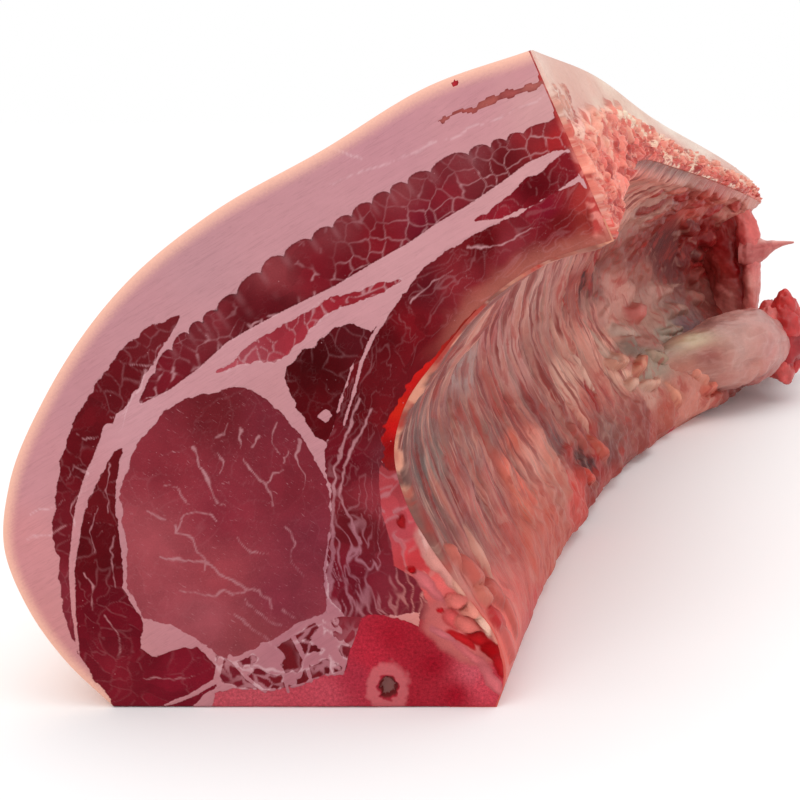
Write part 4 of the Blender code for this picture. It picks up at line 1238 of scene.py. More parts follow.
# Tones on the wall: up, along, red, green, blue
LINING_TONES = [
    (1.00, 0.00, 186, 92, 76), (0.97, 0.30, 190, 110, 98), (0.90, 0.10, 148, 89, 79), (0.80, 0.12, 176, 110, 100),
    (0.65, 0.48, 160, 104, 97), (0.59, 0.38, 170, 122, 113), (0.55, 0.27, 154, 90, 88), (0.53, 0.16, 139, 110, 106),
    (0.51, 0.09, 119, 66, 63), (0.48, 0.04, 127, 71, 65), (0.45, 0.11, 119, 61, 55), (0.43, 0.20, 131, 66, 61),
    (0.45, 0.30, 162, 112, 105), (0.47, 0.41, 143, 90, 81), (0.43, 0.59, 210, 136, 123), (0.35, 0.43, 183, 137, 121),
    (0.34, 0.30, 117, 55, 52), (0.35, 0.20, 119, 73, 66), (0.36, 0.11, 113, 63, 61), (0.39, 0.04, 134, 73, 67),
    (0.34, 0.01, 165, 106, 97), (0.32, 0.05, 156, 77, 72), (0.27, 0.13, 152, 71, 65), (0.23, 0.24, 191, 124, 110),
    (0.22, 0.34, 140, 81, 70), (0.25, 0.47, 155, 80, 70), (0.17, 0.44, 133, 78, 70), (0.18, 0.27, 187, 115, 99),
    (0.19, 0.16, 205, 93, 70), (0.21, 0.06, 199, 79, 70), (0.25, 0.01, 234, 140, 129), (0.15, 0.03, 223, 99, 89),
    (0.12, 0.17, 191, 86, 70), (0.12, 0.30, 203, 68, 58), (0.50, 0.67, 203, 140, 127), (0.36, 0.67, 171, 114, 101),
    (0.29, 0.58, 171, 107, 95), (0.15, 0.60, 197, 142, 127), (0.07, 0.67, 205, 127, 112), (0.10, 0.54, 144, 63, 56),
    (0.12, 0.41, 117, 56, 52), (0.70, 0.78, 94, 17, 14), (0.72, 0.87, 126, 14, 12), (0.66, 0.96, 136, 4, 5),
    (0.48, 0.92, 145, 77, 69), (0.56, 0.74, 164, 96, 84), (0.42, 0.97, 110, 30, 26), (0.35, 0.78, 134, 97, 100),
    (0.42, 0.72, 184, 132, 116), (0.84, 0.62, 177, 123, 110), (0.86, 0.80, 184, 77, 66), (0.95, 0.90, 204, 130, 116),
    # The near-black reds at up 0.12 to 0.16, along 0.345 to 0.365 fill a shallow dip of the wall (the second of
    # LINING_HUMPS): a hole whose darkness is painted shade over red meat, ringed by brighter red.
    (0.16, 0.345, 68, 5, 5), (0.12, 0.365, 73, 4, 5), (0.135, 0.385, 166, 30, 22), (0.19, 0.33, 153, 34, 25),
    (0.09, 0.385, 153, 25, 20), (0.225, 0.315, 93, 55, 55), (0.57, 0.575, 106, 34, 29), (0.60, 0.56, 130, 47, 40),
    (0.78, 0.76, 123, 31, 25), (0.69, 0.72, 132, 45, 38), (0.62, 0.82, 106, 27, 25), (0.60, 0.93, 142, 25, 24),
    (0.40, 0.60, 203, 144, 126), (0.33, 0.62, 133, 107, 94), (0.28, 0.57, 192, 143, 124), (0.24, 0.63, 164, 140, 123),
    (0.36, 0.74, 192, 171, 153), (0.10, 0.62, 176, 86, 71), (0.07, 0.58, 167, 73, 61), (0.88, 0.30, 170, 96, 84),
    (0.74, 0.42, 186, 124, 110), (0.70, 0.25, 150, 84, 74), (0.62, 0.14, 178, 112, 98), (0.43, 0.045, 120, 96, 89),
    (0.40, 0.26, 137, 47, 38), (0.30, 0.22, 170, 82, 66), (0.24, 0.18, 196, 92, 73), (0.20, 0.12, 192, 71, 58),
    (0.03, 0.10, 190, 60, 58), (0.03, 0.40, 170, 70, 62), (0.03, 0.80, 150, 74, 66), (0.20, 0.90, 150, 92, 84),
]
print(len(LINING_TONES), "tones on the rib wall")

# %% Hollows and lumps on the wall
# up and along in millimetres, half sizes, turn in degrees, height
LINING_HUMPS = [
    (137, 400, 20, 5, 12, -5), (34, 240, 13, 9, 40, -2.4), (57, 215, 12, 10, 0, -1.5), (165, 560, 30, 40, 0, -5),
    (100, 340, 24, 3.2, 8, -1.5), (68, 318, 22, 3.2, 10, -1.5), (90, 430, 20, 12, 0, 4), (120, 470, 16, 14, 0, 3),
    (150, 398, 30, 3, 8, 1.2), (42, 497, 24, 30, 0, 13),
]
# Lumps, shreds and membranes on the wall: up, along, how far it stands off, half length, half width, half
# thickness, turn in degrees, taper, and the tone
WALL_LUMPS = [
    (0.5, 0.78, 2, 46, 17, 3, -4, 0.9, 204, 146, 132), (0.45, 0.69, 5, 16, 10, 9, 0, 0.2, 206, 108, 98),
    (0.31, 0.57, 5, 15, 9, 8, 20, 0.2, 218, 150, 126), (0.26, 0.61, 5, 17, 8, 8, -20, 0.2, 212, 136, 110),
    (0.22, 0.57, 4, 15, 7, 7, 0, 0.3, 222, 168, 146), (0.13, 0.65, 6, 13, 12, 3, -100, 0.95, 226, 146, 120),
    (0.11, 0.72, 6, 18, 9, 7, 10, 0.2, 218, 112, 92), (0.15, 0.7, 6, 14, 8, 6, 40, 0.3, 222, 134, 112),
    (0.36, 0.75, 4, 26, 6, 4, 8, 0.3, 178, 156, 138), (0.31, 0.74, 1.6, 22, 5, 2.4, -6, 0.3, 160, 140, 122),
    (0.38, 0.56, 0, 20, 6, 2, 84, 0.3, 206, 160, 142), (0.4, 0.64, 1, 24, 8, 3, 12, 0.3, 204, 164, 148),
    (0.47, 0.62, 1.6, 22, 5, 2.4, -30, 0.5, 214, 150, 136), (0.2, 0.62, 4, 20, 6, 5, 0, 0.3, 214, 160, 138),
    (0.27, 0.66, 4, 16, 8, 6, 30, 0.3, 170, 140, 118), (0.62, 0.58, 1.2, 22, 3.4, 1.8, 70, 0.2, 164, 32, 28),
    (0.57, 0.56, 1.2, 10, 4, 1.8, 100, 0.2, 84, 18, 16), (0.49, 0.54, 1.6, 16, 3, 1.5, 75, 0.5, 192, 86, 70),
    (0.53, 0.51, 1.6, 13, 3, 1.5, 60, 0.5, 178, 60, 48), (0.4, 0.49, 3, 11, 4.6, 2, 75, 0.4, 150, 30, 26),
    (0.27, 0.46, 3, 15, 4.4, 2, 108, 0.4, 164, 40, 34), (0.33, 0.47, 3.4, 24, 4, 2.6, 95, 0.5, 222, 170, 152),
    (0.45, 0.46, 3.4, 26, 4, 2.6, 88, 0.5, 214, 150, 134), (0.14, 0.4, 4, 14, 9, 5, 60, 0.2, 196, 84, 66),
    (0.11, 0.34, 4, 12, 6, 5, 30, 0.3, 206, 66, 50), (0.2, 0.37, 3, 14, 7, 4, 70, 0.4, 170, 80, 68),
    (0.24, 0.4, 3, 16, 6, 4, 80, 0.4, 214, 140, 122), (0.9, 0.62, 0.6, 15, 9.6, 3.3, 20, 0.3, 176, 56, 48),
    (0.93, 0.67, 0.6, 14, 8.4, 3.3, -20, 0.3, 206, 104, 88), (0.89, 0.71, 0.9, 18, 9.6, 3.3, 10, 0.4, 160, 36, 32),
    (0.94, 0.75, 0.9, 16, 10.8, 3.85, 30, 0.3, 196, 78, 66), (0.88, 0.79, 1.2, 18, 10.8, 3.85, -10, 0.3, 184, 60, 54),
    (0.94, 0.83, 1.2, 16, 10.8, 3.85, 15, 0.3, 214, 120, 104),
    (0.86, 0.87, 1.5, 18, 10.8, 3.85, -25, 0.3, 170, 40, 38), (0.93, 0.91, 1.2, 16, 12, 4.4, 20, 0.3, 200, 80, 72),
    (0.84, 0.66, 0.9, 20, 7.2, 2.2, -35, 0.5, 150, 50, 42), (0.8, 0.7, 0.9, 22, 6, 2.2, -20, 0.5, 180, 84, 72),
    (0.76, 0.84, 4, 22, 10, 6, 10, 0.3, 130, 30, 26), (0.72, 0.92, 6, 18, 16, 7, 0, 0.2, 146, 30, 30),
    (0.64, 0.9, 4, 22, 12, 5, 10, 0.3, 112, 30, 26), (0.55, 0.9, 5, 18, 8, 6, -20, 0.3, 150, 60, 52),
    (0.46, 0.88, 6, 22, 10, 6, 0, 0.3, 176, 112, 100), (0.42, 0.8, 5, 26, 9, 6, 0, 0.3, 182, 134, 120),
    (0.27, 0.012, 1, 9, 7, 4, 60, 0.2, 200, 100, 86), (0.235, 0.02, 1, 10, 8, 5, 80, 0.2, 200, 92, 80),
    (0.20, 0.014, 1, 8, 7, 4, 70, 0.2, 204, 108, 92), (0.18, 0.032, 1, 10, 7, 4, 90, 0.3, 196, 84, 74),
    (0.145, 0.014, 0, 9, 7, 3, 70, 0.2, 190, 36, 38), (0.10, 0.016, 0, 9, 6, 3, 80, 0.2, 208, 96, 90),
    (0.13, 0.04, 0, 11, 6, 2.5, 90, 0.3, 206, 90, 80), (0.24, 0.05, 0, 14, 7, 3, 100, 0.4, 214, 140, 122),
]
print(len(LINING_HUMPS), "smooth humps and", len(WALL_LUMPS), "lumps and shreds")


# %% The lining as a surface
def lining_height(up, along):
    """How far the lining stands off the wall, in millimetres: ribs as raised cosines, pleats as noise
    stretched along the ribs, and humps, all faded out at the cut end and at the foot."""
    spots = joined(up * WALL_HEIGHT, along * WALL_LENGTH)
    phase = (along - RIB_LEAN * up) / RIB_PITCH + 0.16 * rough(spots, 60, 80)
    thorax = smoothstep(RIB_COUNT - phase) * smoothstep((up - 0.13) / 0.16)
    ribs = (0.5 - 0.5 * np.cos(2 * np.pi * phase)) ** 1.2 * RIB_HEIGHT * thorax * smoothstep((phase - 0.4) / 1.2)
    with_ribs = joined(spots[..., 0] / 12, phase * RIB_PITCH * WALL_LENGTH)
    pleats = 1.6 * (1 - np.abs(drift(with_ribs, 9.5, 81))) ** 3
    pleats += 0.8 * (1 - np.abs(drift(with_ribs + 40, 4.6, 82))) ** 3
    lumps = 1.4 * rough(spots, 34, 83) + 0.6 * rough(spots, 9, 84)
    low = smoothstep((0.26 - up) / 0.1)
    lumps += low * (2.6 * np.abs(rough(spots, 16, 85)) + 0.9 * rough(spots, 5, 86))
    far = smoothstep((phase - RIB_COUNT + 1.2) / 1.6)
    lumps += far * (3.4 * rough(spots, 38, 87) + 1.8 * np.abs(rough(spots, 15, 88)))
    inside = smoothstep(along * WALL_LENGTH / 70)
    height = 0.9 + 2.3 * inside + ribs + pleats * thorax + lumps * inside + humps(spots, LINING_HUMPS)
    fade = smoothstep(along * WALL_LENGTH / 2.5) * smoothstep(up * WALL_HEIGHT / 14)
    fade = fade * (1 - 0.8 * smoothstep((0.36 - up) / 0.22) * smoothstep((0.30 - along) / 0.22))
    return 0.2 + np.maximum(height, 0.8) * fade * smoothstep((1 - up) * WALL_HEIGHT / 10 + 0.15)


def rib_lining():
    """The lining from the sawn face to the belly cut, along the whole loin."""
    along = np.linspace(0.0022, 0.998, 440)[:, None] ** 1.1
    up = np.linspace(0.0, 1.0, 200)[None]
    up, along = np.broadcast_arrays(up, along)
    height = lining_height(up, along)
    base = place(up, 0.0, along)
    spots = joined(up * WALL_HEIGHT, along * WALL_LENGTH)
    tones = np.array(LINING_TONES, float)
    tones[:, :2] *= (WALL_HEIGHT, WALL_LENGTH)
    tones[:, 1] *= 0.6
    tone = anchored(wobbled(spots * (1, 0.6), 5, 24, 89), tones, 4.5)
    ragged = along * WALL_LENGTH + 3.0 * rough(spots, 7, 94)
    edge = smoothstep(1.5 - ragged / 2.4) * smoothstep((up - 0.36) / 0.1)
    streak = smoothstep(0.5 + 1.6 * drift(spots * (0.25, 1), 2.0, 95))[..., None]
    edge_tone = linear((224, 150, 124)) * streak + linear((176, 52, 40)) * (1 - streak)
    tone = tone + (edge_tone - tone) * 0.85 * edge[..., None]
    rows = np.array(WALL_LUMPS, float)
    rows[:, :2] *= (WALL_HEIGHT, WALL_LENGTH)
    rows[:, 6] += 90
    swell, tone, cover = embossed(spots, rows, tone, 90, 3.0)
    height = height * (1 - 0.4 * cover) + swell * smoothstep(along * WALL_LENGTH / 5)
    height = np.maximum(height, 0.15)
    outer = lifted(base, -height if (place(0.5, -0.1, 0.5) - place(0.5, 0.0, 0.5))[0] < 0 else height)
    few = np.linspace(0.0, 1.0, 24)[None]
    inner = place(few, 0.12, along[:, :1])
    phase = (along - RIB_LEAN * up) / RIB_PITCH
    flat = joined(phase, up * WALL_HEIGHT, along * WALL_LENGTH)
    pleated = smoothstep(RIB_COUNT + 0.5 - phase) * smoothstep((up - 0.12) / 0.16) * (1 - cover) * (1 - edge)
    return shell("rib_lining", outer, inner, {
        "tone": tone, "wall": flat, "pleated": pleated, "height": height,
    })


print("the lining stands %.1f mm off the wall half way up" % lining_height(np.array(0.5), np.array(0.3)))


# %% The lining's finish
def lining_finish():
    """Wet lining over meat: broad peach, grey and red-brown stripes along the ribs, fine pale lines, and
    blotches. Wherever the lining stands high it is painted paler, as lit, and in the gaps it is painted darker, as
    shaded; where it is not pleated, red meat shows through."""
    f = Finish("rib lining", Roughness=0.42, Specular_IOR_Level=0.22)
    wall, pleated = f.carried("wall"), f.carried("pleated", "Fac")
    height_here = f.carried("height", "Fac")
    phase, up, _ = f.parts(wall)
    spot = f.node("CombineXYZ", {"X": phase * 33.0, "Y": up})
    tone = f.carried("tone")
    broad = f.streaks(spot, (7.5, 62, 1), 0, 2, 0.5, 0.4)
    middle = f.streaks(spot, (3.8, 40, 1), 0, 2, 0.5, 0.3)
    fine = f.streaks(spot, (1.7, 30, 1), 0, 2, 0.5, 0.2)
    blotch = f.streaks(spot, (14, 30, 1), 0, 4, 0.6)
    specks = f.noise(spot, 2.2, 4, 0.7)
    # painted light and shade: the colour is scaled up where the lining stands high and down where it lies low
    lit_crest_mask = f.step(height_here, 1.2, 5.2)
    shade = (lit_crest_mask - 0.45) * pleated + 1.0
    shade = shade * (blotch * 0.5 + 0.75)
    colour = f.shaded(tone, shade)
    patchy = f.step(blotch, 0.38, 0.6, 0.8) + 0.25
    pale = f.step(broad, 0.5, 0.62, 0.75) * pleated * patchy
    colour = f.mix(pale, colour, tint(190, 114, 98))
    grey = f.step(middle, 0.54, 0.66, 0.6) * pleated * patchy
    colour = f.mix(grey, colour, tint(150, 108, 96))
    red = f.step(broad, 0.49, 0.37, 0.8) * pleated
    colour = f.mix(red, colour, tint(130, 28, 24))
    pink = f.step(middle, 0.42, 0.3, 0.6) * pleated
    colour = f.mix(pink, colour, tint(174, 62, 54))
    line = f.step(fine, 0.6, 0.68, 0.5) * pleated
    colour = f.mix(line, colour, tint(208, 150, 134))
    bloody = f.step(blotch, 0.56, 0.68, 0.4) * (1.0 - pleated)
    colour = f.mix(bloody, colour, tint(176, 40, 34))
    stain = f.streaks(spot, (11, 17, 1), 0, 3, 0.6, 0.6)
    colour = f.mix(f.step(stain, 0.54, 0.66, 0.55), colour, tint(166, 56, 46))
    colour = f.mix(f.step(stain, 0.44, 0.34, 0.22), colour, tint(206, 156, 140))
    colour = f.shaded(colour, specks * 0.24 + 0.88)
    height = fine * 0.5 + specks * 0.3
    height = height + middle * 0.6
    return f.done(colour, height, distance=0.0012, strength=0.6)


finished(rib_lining(), lining_finish(), "rib_wall")

# %% [markdown]
# ## The rind
#
# Pig skin is scalded and scraped, so it is smooth and pale, with rows of fine pores and shallow creases.
# A thin shell gives it its own edge at the cut, as the real rind has.

# %% Rind
RIND_HEIGHT, RIND_LENGTH = 310, 660  # millimetres that up and along stand for on the skin


def rind():
    """The skin: the outer side, lifted by soft waves and faint creases round the loin."""
    along = np.linspace(0.0026, 0.9975, 400)[:, None]
    up, along = np.broadcast_arrays(np.linspace(0.0, 1.0, 190)[None], along)
    spots = joined(up * RIND_HEIGHT, along * RIND_LENGTH)
    creases = rough(spots * (1.0, 0.35), 26, 92)
    height = 0.9 * rough(spots, 60, 91) - 0.5 * np.exp(-(creases / 0.05) ** 2)
    edge = smoothstep(along * RIND_LENGTH / 12) * smoothstep((1 - along) * RIND_LENGTH / 12)
    edge = edge * smoothstep(up * RIND_HEIGHT / 10) * smoothstep((1 - up) * RIND_HEIGHT / 6)
    outer = lifted(place(up, 1.0, along), 0.15 + (1.0 + np.maximum(height, -0.5)) * edge)
    inner = place(np.linspace(0.0, 1.0, 22)[None], 0.95, along[:, :1])
    where = joined(up * RIND_HEIGHT, along * RIND_LENGTH, up * 0)
    return shell("rind", outer, inner, {"wall": where})


print("the skin is %d mm round and %d mm long" % (RIND_HEIGHT, RIND_LENGTH))


# %% The rind's finish
def rind_finish():
    """Pale pink skin: cream and pink clouds, pores in rows as small dark dots, scraped streaks, some bruises."""
    f = Finish("rind", Roughness=0.46, Specular_IOR_Level=0.3)
    wall = f.carried("wall")
    cloud = f.noise(wall, 70, 5, 0.55, 0.8)
    soft = f.noise(wall, 16, 4, 0.6)
    fine = f.noise(wall, 3.5, 4, 0.7)
    scrape = f.streaks(wall, (60, 3.2, 1), 78, 4, 0.6, 0.3)
    colour = f.mix(f.step(cloud, 0.30, 0.72), tint(238, 194, 174), tint(228, 164, 150))
    colour = f.mix(f.step(soft, 0.40, 0.75, 0.5), colour, tint(216, 146, 134))
    colour = f.mix(f.step(scrape, 0.54, 0.70, 0.4), colour, tint(246, 214, 196))
    colour = f.shaded(colour, fine * 0.18 + 0.91)
    pores = f.cells(f.stretched(wall, (1.0, 1.5, 1)), 3.1)
    colour = f.mix(f.step(pores, 0.15, 0.06, 0.4), colour, tint(150, 84, 74))
    red = f.step(f.noise(wall, 24, 4, 0.6, 0.5), 0.62, 0.80, 0.4)
    colour = f.mix(red, colour, tint(206, 96, 88))
    crease = f.cells(f.stretched(wall, (7, 3.2, 1)), feature="DISTANCE_TO_EDGE")
    height = f.step(crease, 0.0, 0.14, 0.7) + f.step(pores, 0.05, 0.2) * 1.4
    height = height + scrape * 0.8
    return f.done(colour, height, distance=0.0004, strength=0.5)


finished(rind(), rind_finish(), "fat")

# %% [markdown]
# ## The belly cut
#
# The belly was cut and partly torn off, so this edge is not smooth: crumbly fat outside, and red ragged meat
# and sinew inside. It is lumpy at three sizes, and only real lumps give it a broken outline.

# %% Belly cut
CUT_ACROSS, CUT_ALONG = 60.0, 640.0  # millimetres that out and along stand for on the belly cut
BELLY_TONES = [
    (0.92, 0.00, 234, 198, 184), (0.80, 0.05, 226, 176, 160), (0.80, 0.20, 232, 184, 168),
    (0.68, 0.20, 230, 194, 176), (0.74, 0.02, 228, 196, 180), (0.62, 0.04, 218, 158, 148),
    (0.66, 0.32, 232, 194, 174), (0.70, 0.44, 242, 216, 198), (0.95, 0.30, 240, 210, 192),
    (0.93, 0.60, 246, 226, 212), (0.81, 0.72, 244, 222, 208), (0.52, 0.09, 220, 162, 148), (0.36, 0.17, 188, 94, 84),
    (0.16, 0.27, 208, 128, 114), (0.37, 0.45, 228, 184, 164), (0.34, 0.08, 192, 90, 82), (0.15, 0.17, 200, 78, 70),
    (0.23, 0.02, 206, 128, 116), (0.07, 0.00, 192, 106, 92), (0.26, 0.49, 228, 168, 148), (0.19, 0.63, 224, 176, 158),
    (0.12, 0.74, 232, 186, 172), (0.50, 0.60, 226, 160, 146), (0.50, 0.80, 232, 180, 168),
    (0.00, 0.93, 220, 120, 112), (0.95, 0.95, 238, 200, 186), (0.50, 0.00, 226, 168, 154), (0.04, 0.40, 190, 84, 72),
]
print(len(BELLY_TONES), "tones on the belly cut")


# %% Ragged lumps, and the cut as a surface
def scattered(count, seed):
    """Rows of ragged lumps for the belly cut: redder near the hollow, paler near the skin."""
    draw = np.random.default_rng(seed)
    out = draw.random(count) ** 1.2 * 0.60
    along = draw.random(count) ** 1.1 * 0.98
    size = 2.2 + 4.2 * draw.random((count, 1)) ** 1.5
    shape = size * np.array([1.9, 0.9, 0.62]) * (0.8 + 0.4 * draw.random((count, 3)))
    share = np.clip(out / 0.56 + draw.normal(0, 0.30, count), 0, 1)[:, None]
    red = np.array([178, 66, 58]) + draw.normal(0, 18, (count, 1)) * (1.0, 0.9, 0.85)
    tone = red + (np.array([226, 158, 140]) - red) * share
    return np.column_stack([out * CUT_ACROSS, along * CUT_ALONG, size * 0.05, shape, draw.normal(80, 40, count),
                            draw.uniform(0, 0.6, count), np.clip(tone, 8, 250)])


def belly_cut():
    """The cut's shell. Lumps are waves plus the domes of scattered(), and grow from the fat side to the
    ragged meat side."""
    along = np.linspace(0.0022, 0.998, 520)[:, None]
    out, along = np.broadcast_arrays(np.linspace(1.0, 0.0, 150)[None], along)
    spots = joined(out * CUT_ACROSS, along * CUT_ALONG)
    meat = smoothstep((0.66 + 0.05 * drift(spots, 14, 103) - out) / 0.10)
    lumps = np.abs(rough(spots, 15, 101, 4))
    crumbs = rough(spots, 4.2, 105, 3)
    front = np.exp(-along * CUT_ALONG / 16)
    height = meat * (3.0 * lumps + 0.6 * crumbs) + (1 - meat) * (0.7 + 0.8 * rough(spots, 30, 108))
    height += front * 0.3 * crumbs + 0.25 * crumbs
    edge = smoothstep((1 - out) * CUT_ACROSS / 5) * smoothstep(out * CUT_ACROSS / 3 + 0.35)
    edge = edge * smoothstep(along * CUT_ALONG / 3 + 0.1) * smoothstep((1 - along) * CUT_ALONG / 8)
    base = place(1.0, out, along)
    inner = place(0.97, np.linspace(0.97, 0.03, 20)[None], along[:, :1])
    tones = np.array(BELLY_TONES, float)
    tones[:, :2] *= (CUT_ACROSS, CUT_ALONG * 0.35)
    tone = anchored(spots * (1, 0.35), tones, 2.5)
    front_rows = scattered(170, 165)
    front_rows[:, 1] *= 0.07
    front_rows[:, 0] *= 1.35
    front_rows[:, 3:6] *= 0.42
    swell, tone, cover = embossed(spots, np.vstack([scattered(330, 161), front_rows]), tone, 109, 1.2)
    height_there = 0.3 + np.maximum(height * (1 - 0.5 * cover) + swell, -0.2) * edge
    outer = lifted(base, height_there * np.sign(outward_up(base)))
    tone = np.clip(tone * (1 + (0.55, 0.42, 0.34) * meat[..., None]), 0, 0.93)
    marks = joined(meat * (1 - 0.75 * cover), lumps, front)
    wall = joined(out * CUT_ACROSS, along * CUT_ALONG, height)
    return shell("belly_cut", outer, inner, {"tone": tone, "wall": wall, "marks": marks})


def outward_up(base):
    """The height of the grid's own normal: above 0 where it points up, below 0 where it points down."""
    normal = np.cross(np.gradient(base, axis=0), np.gradient(base, axis=1))
    return normal[..., 2]


print("the first lump is %.1f mm long" % (2 * scattered(1, 161)[0, 3]))


# %% The finish of torn meat
def torn_finish(name, meat_tone, fat_tone):
    """Torn meat and fat: the carried tone, redder in the gaps between lumps, and paler on their tops, where embossed()
    painted light on each lump.
    """
    f = Finish(name, Roughness=0.48, Specular_IOR_Level=0.28)
    wall = f.carried("wall")
    meat, lumps, front = f.parts(f.carried("marks"))
    tone = f.carried("tone")
    mottle = f.noise(wall, 5.5, 5, 0.65, 0.4)
    strands = f.streaks(wall, (2.2, 7, 3), 20, 4, 0.65, 0.8)
    specks = f.noise(wall, 1.3, 4, 0.7)
    gap = f.step(lumps, 0.34, 0.06, 0.75) * meat
    colour = f.mix(gap, tone, tint(*meat_tone))
    red = f.step(mottle, 0.54, 0.64, 0.8) * meat
    colour = f.mix(red, colour, tint(*meat_tone))
    pale = f.step(strands, 0.55, 0.68, 0.75) * (meat * 0.8 + 0.2)
    colour = f.mix(pale, colour, tint(*fat_tone))
    crumb = f.step(f.noise(wall, 2.6, 4, 0.7), 0.5, 0.7, 0.35) * front
    colour = f.mix(crumb, colour, tint(240, 212, 198))
    colour = f.shaded(colour, specks * 0.26 + 0.87)
    height = mottle * 1.0 + specks * 0.5
    return f.done(colour, height, distance=0.0014, strength=0.7)


finished(belly_cut(), torn_finish("belly cut", (172, 52, 48), (236, 196, 178)), "fat")

# %% [markdown]
# ## The tenderloin
#
# The tenderloin lies in the hollow against the spine. It comes out of the wall, swells to its thick head and
# goes on as a bare red end. A silvery sheath covers the head. It is a tube of round sections of changing size
# along a path, because a muscle is round and only its size and its place change on the way.

# %% Tenderloin
# along, across, height, radius: it comes out of the wall and then lies beside the chine
TENDERLOIN = [
    (0.64, -18, 37, 8), (0.68, -9, 39, 14), (0.72, 3, 41.5, 20), (0.76, 12, 43, 24), (0.79, 16.5, 43.5, 25.5),
    (0.83, 18, 42.5, 24), (0.87, 19.5, 41, 20.5), (0.90, 19, 40, 17), (0.95, 17, 36, 14), (1.0, 15, 34, 13),
    (1.03, 14, 34, 12), (1.055, 8, 33, 5),
]
# along, turn in degrees (0 faces the hollow, 90 faces up), red, green, blue
TENDERLOIN_TONES = [
    (0.66, 90, 150, 134, 118), (0.67, 0, 176, 104, 86), (0.68, -60, 150, 72, 60), (0.70, 70, 206, 184, 150),
    (0.70, 20, 160, 84, 74), (0.74, 30, 196, 146, 136), (0.74, 90, 170, 120, 112), (0.76, -20, 186, 120, 108),
    (0.78, 80, 204, 150, 140), (0.78, 0, 196, 132, 126), (0.80, 50, 188, 146, 140), (0.78, -60, 160, 70, 62),
    (0.84, 180, 180, 110, 98), (0.84, 90, 196, 104, 96), (0.84, 30, 200, 146, 142), (0.86, -20, 190, 122, 120),
    (0.88, -70, 152, 62, 58), (0.89, 60, 196, 84, 78), (0.90, 20, 190, 90, 86), (0.92, 0, 184, 50, 50),
    (0.95, 0, 166, 24, 28), (1.02, 90, 180, 56, 54), (1.04, 0, 140, 20, 24), (1.02, -60, 160, 46, 46),
]
print(len(TENDERLOIN), "sections,", len(TENDERLOIN_TONES), "tones")


# %% A closed tube, and the tenderloin as one
def sideways(along):
    """The level direction across the loin, towards the hollow."""
    heading = np.radians(curve_at(ALONG, ALONG_KNOTS, along)[..., 2])
    return joined(np.cos(heading), -np.sin(heading), np.zeros_like(heading))


def tube(name, centre, side, rise, values, turns):
    """A closed tube: each centre plus its side and rise directions times the cosine and sine of a turn, with
    the first and last rings drawn together into their centres."""
    turn = np.linspace(0, 2 * np.pi, turns, endpoint=False)
    rings = centre[:, None] + side * np.cos(turn)[None, :, None] + rise * np.sin(turn)[None, :, None]
    rings[0], rings[-1] = centre[0], centre[-1]
    cells = ring_cells(np.arange(len(centre) * turns).reshape(len(centre), turns))
    carried = {key: numbers.reshape(rings.shape[0] * turns, -1).squeeze() for key, numbers in values.items()}
    return mesh_from(name, rings.reshape(-1, 3), cells, carried)


TURN_SHARE = 0.45  # millimetres that a degree counts for when tones are blended


def tenderloin():
    """Round sections along the chine. Their radius is multiplied by 1 plus soft waves and long folds."""
    rows = np.array(TENDERLOIN, float)
    steps, turns = 240, 150
    at = np.interp(np.linspace(0, 1, steps), shares_along(rows[:, :1] * WALL_LENGTH), rows[:, 0])
    across, height, radius = curve_at(rows[:, 1:], rows[:, 0], at).T
    radius = np.maximum(radius, 0.3)
    centre = beside_chine(at, across, height)
    turn = np.linspace(0, 2 * np.pi, turns, endpoint=False)
    path = np.broadcast_to(at[:, None] * WALL_LENGTH, (steps, turns))
    spots = joined(path, radius[:, None] * np.cos(turn), radius[:, None] * np.sin(turn))
    ridges = np.abs(rough(spots * (0.4, 1, 1), 16, 126, 2))
    swell = 1 + 0.09 * rough(spots, 26, 121) + 0.035 * rough(spots, 8, 122) + 0.10 * ridges
    knob = smoothstep((at - 0.84) / 0.03)[:, None]
    swell += knob * 0.16 * rough(spots, 11, 123)
    reach = (radius[:, None] * swell * MM)[..., None]
    side = sideways(at)[:, None] * reach
    rise = np.array([0.0, 0.0, 1.0]) * reach
    tones = np.array(TENDERLOIN_TONES, float)
    degrees = np.degrees(np.arctan2(np.sin(turn), np.cos(turn)))
    polar = joined(path, np.broadcast_to(degrees * TURN_SHARE, (steps, turns)))
    tones[:, 0] *= WALL_LENGTH
    tones[:, 1] *= TURN_SHARE
    marks = np.broadcast_to(joined(0 * knob, 1 - knob, knob), (steps, turns, 3))
    carried = {"tone": anchored(polar, tones, 2.5), "wall": spots, "marks": marks}
    return tube("tenderloin_head", centre, side, rise, carried, turns)


print("across the loin at its middle:", sideways(0.5).round(2))


# %% The sheath's finish
def sheath_finish(name, strand_tone, deep_tone):
    """A thin silvery sheath over meat: the carried tone, pale strands along the muscle, red where it is thin."""
    f = Finish(name, Roughness=0.36, Specular_IOR_Level=0.4)
    wall = f.carried("wall")
    _, sheathed, raw = f.parts(f.carried("marks"))
    tone = f.carried("tone")
    soft = f.noise(wall, 14, 4, 0.6, 0.3)
    strands = f.streaks(wall, (30, 4.5, 4.5), 0, 5, 0.65, 0.8)
    specks = f.noise(wall, 1.6, 4, 0.7)
    colour = f.shaded(tone, soft * 0.8 + 0.6)
    pale = f.step(strands, 0.46, 0.72, 0.26) * sheathed
    colour = f.mix(pale, colour, tint(*strand_tone))
    deep = f.step(soft, 0.55, 0.7, 0.6) * (raw * 0.7 + 0.3)
    colour = f.mix(deep, colour, tint(*deep_tone))
    colour = f.shaded(colour, specks * 0.2 + 0.9)
    height = strands * 0.7 + specks * 0.3
    return f.done(colour, height, distance=0.0010, strength=0.5)


SHEATH = sheath_finish("silvery sheath", (218, 176, 164), (140, 30, 32))
finished(tenderloin(), SHEATH, "tenderloin", "tenderloin")
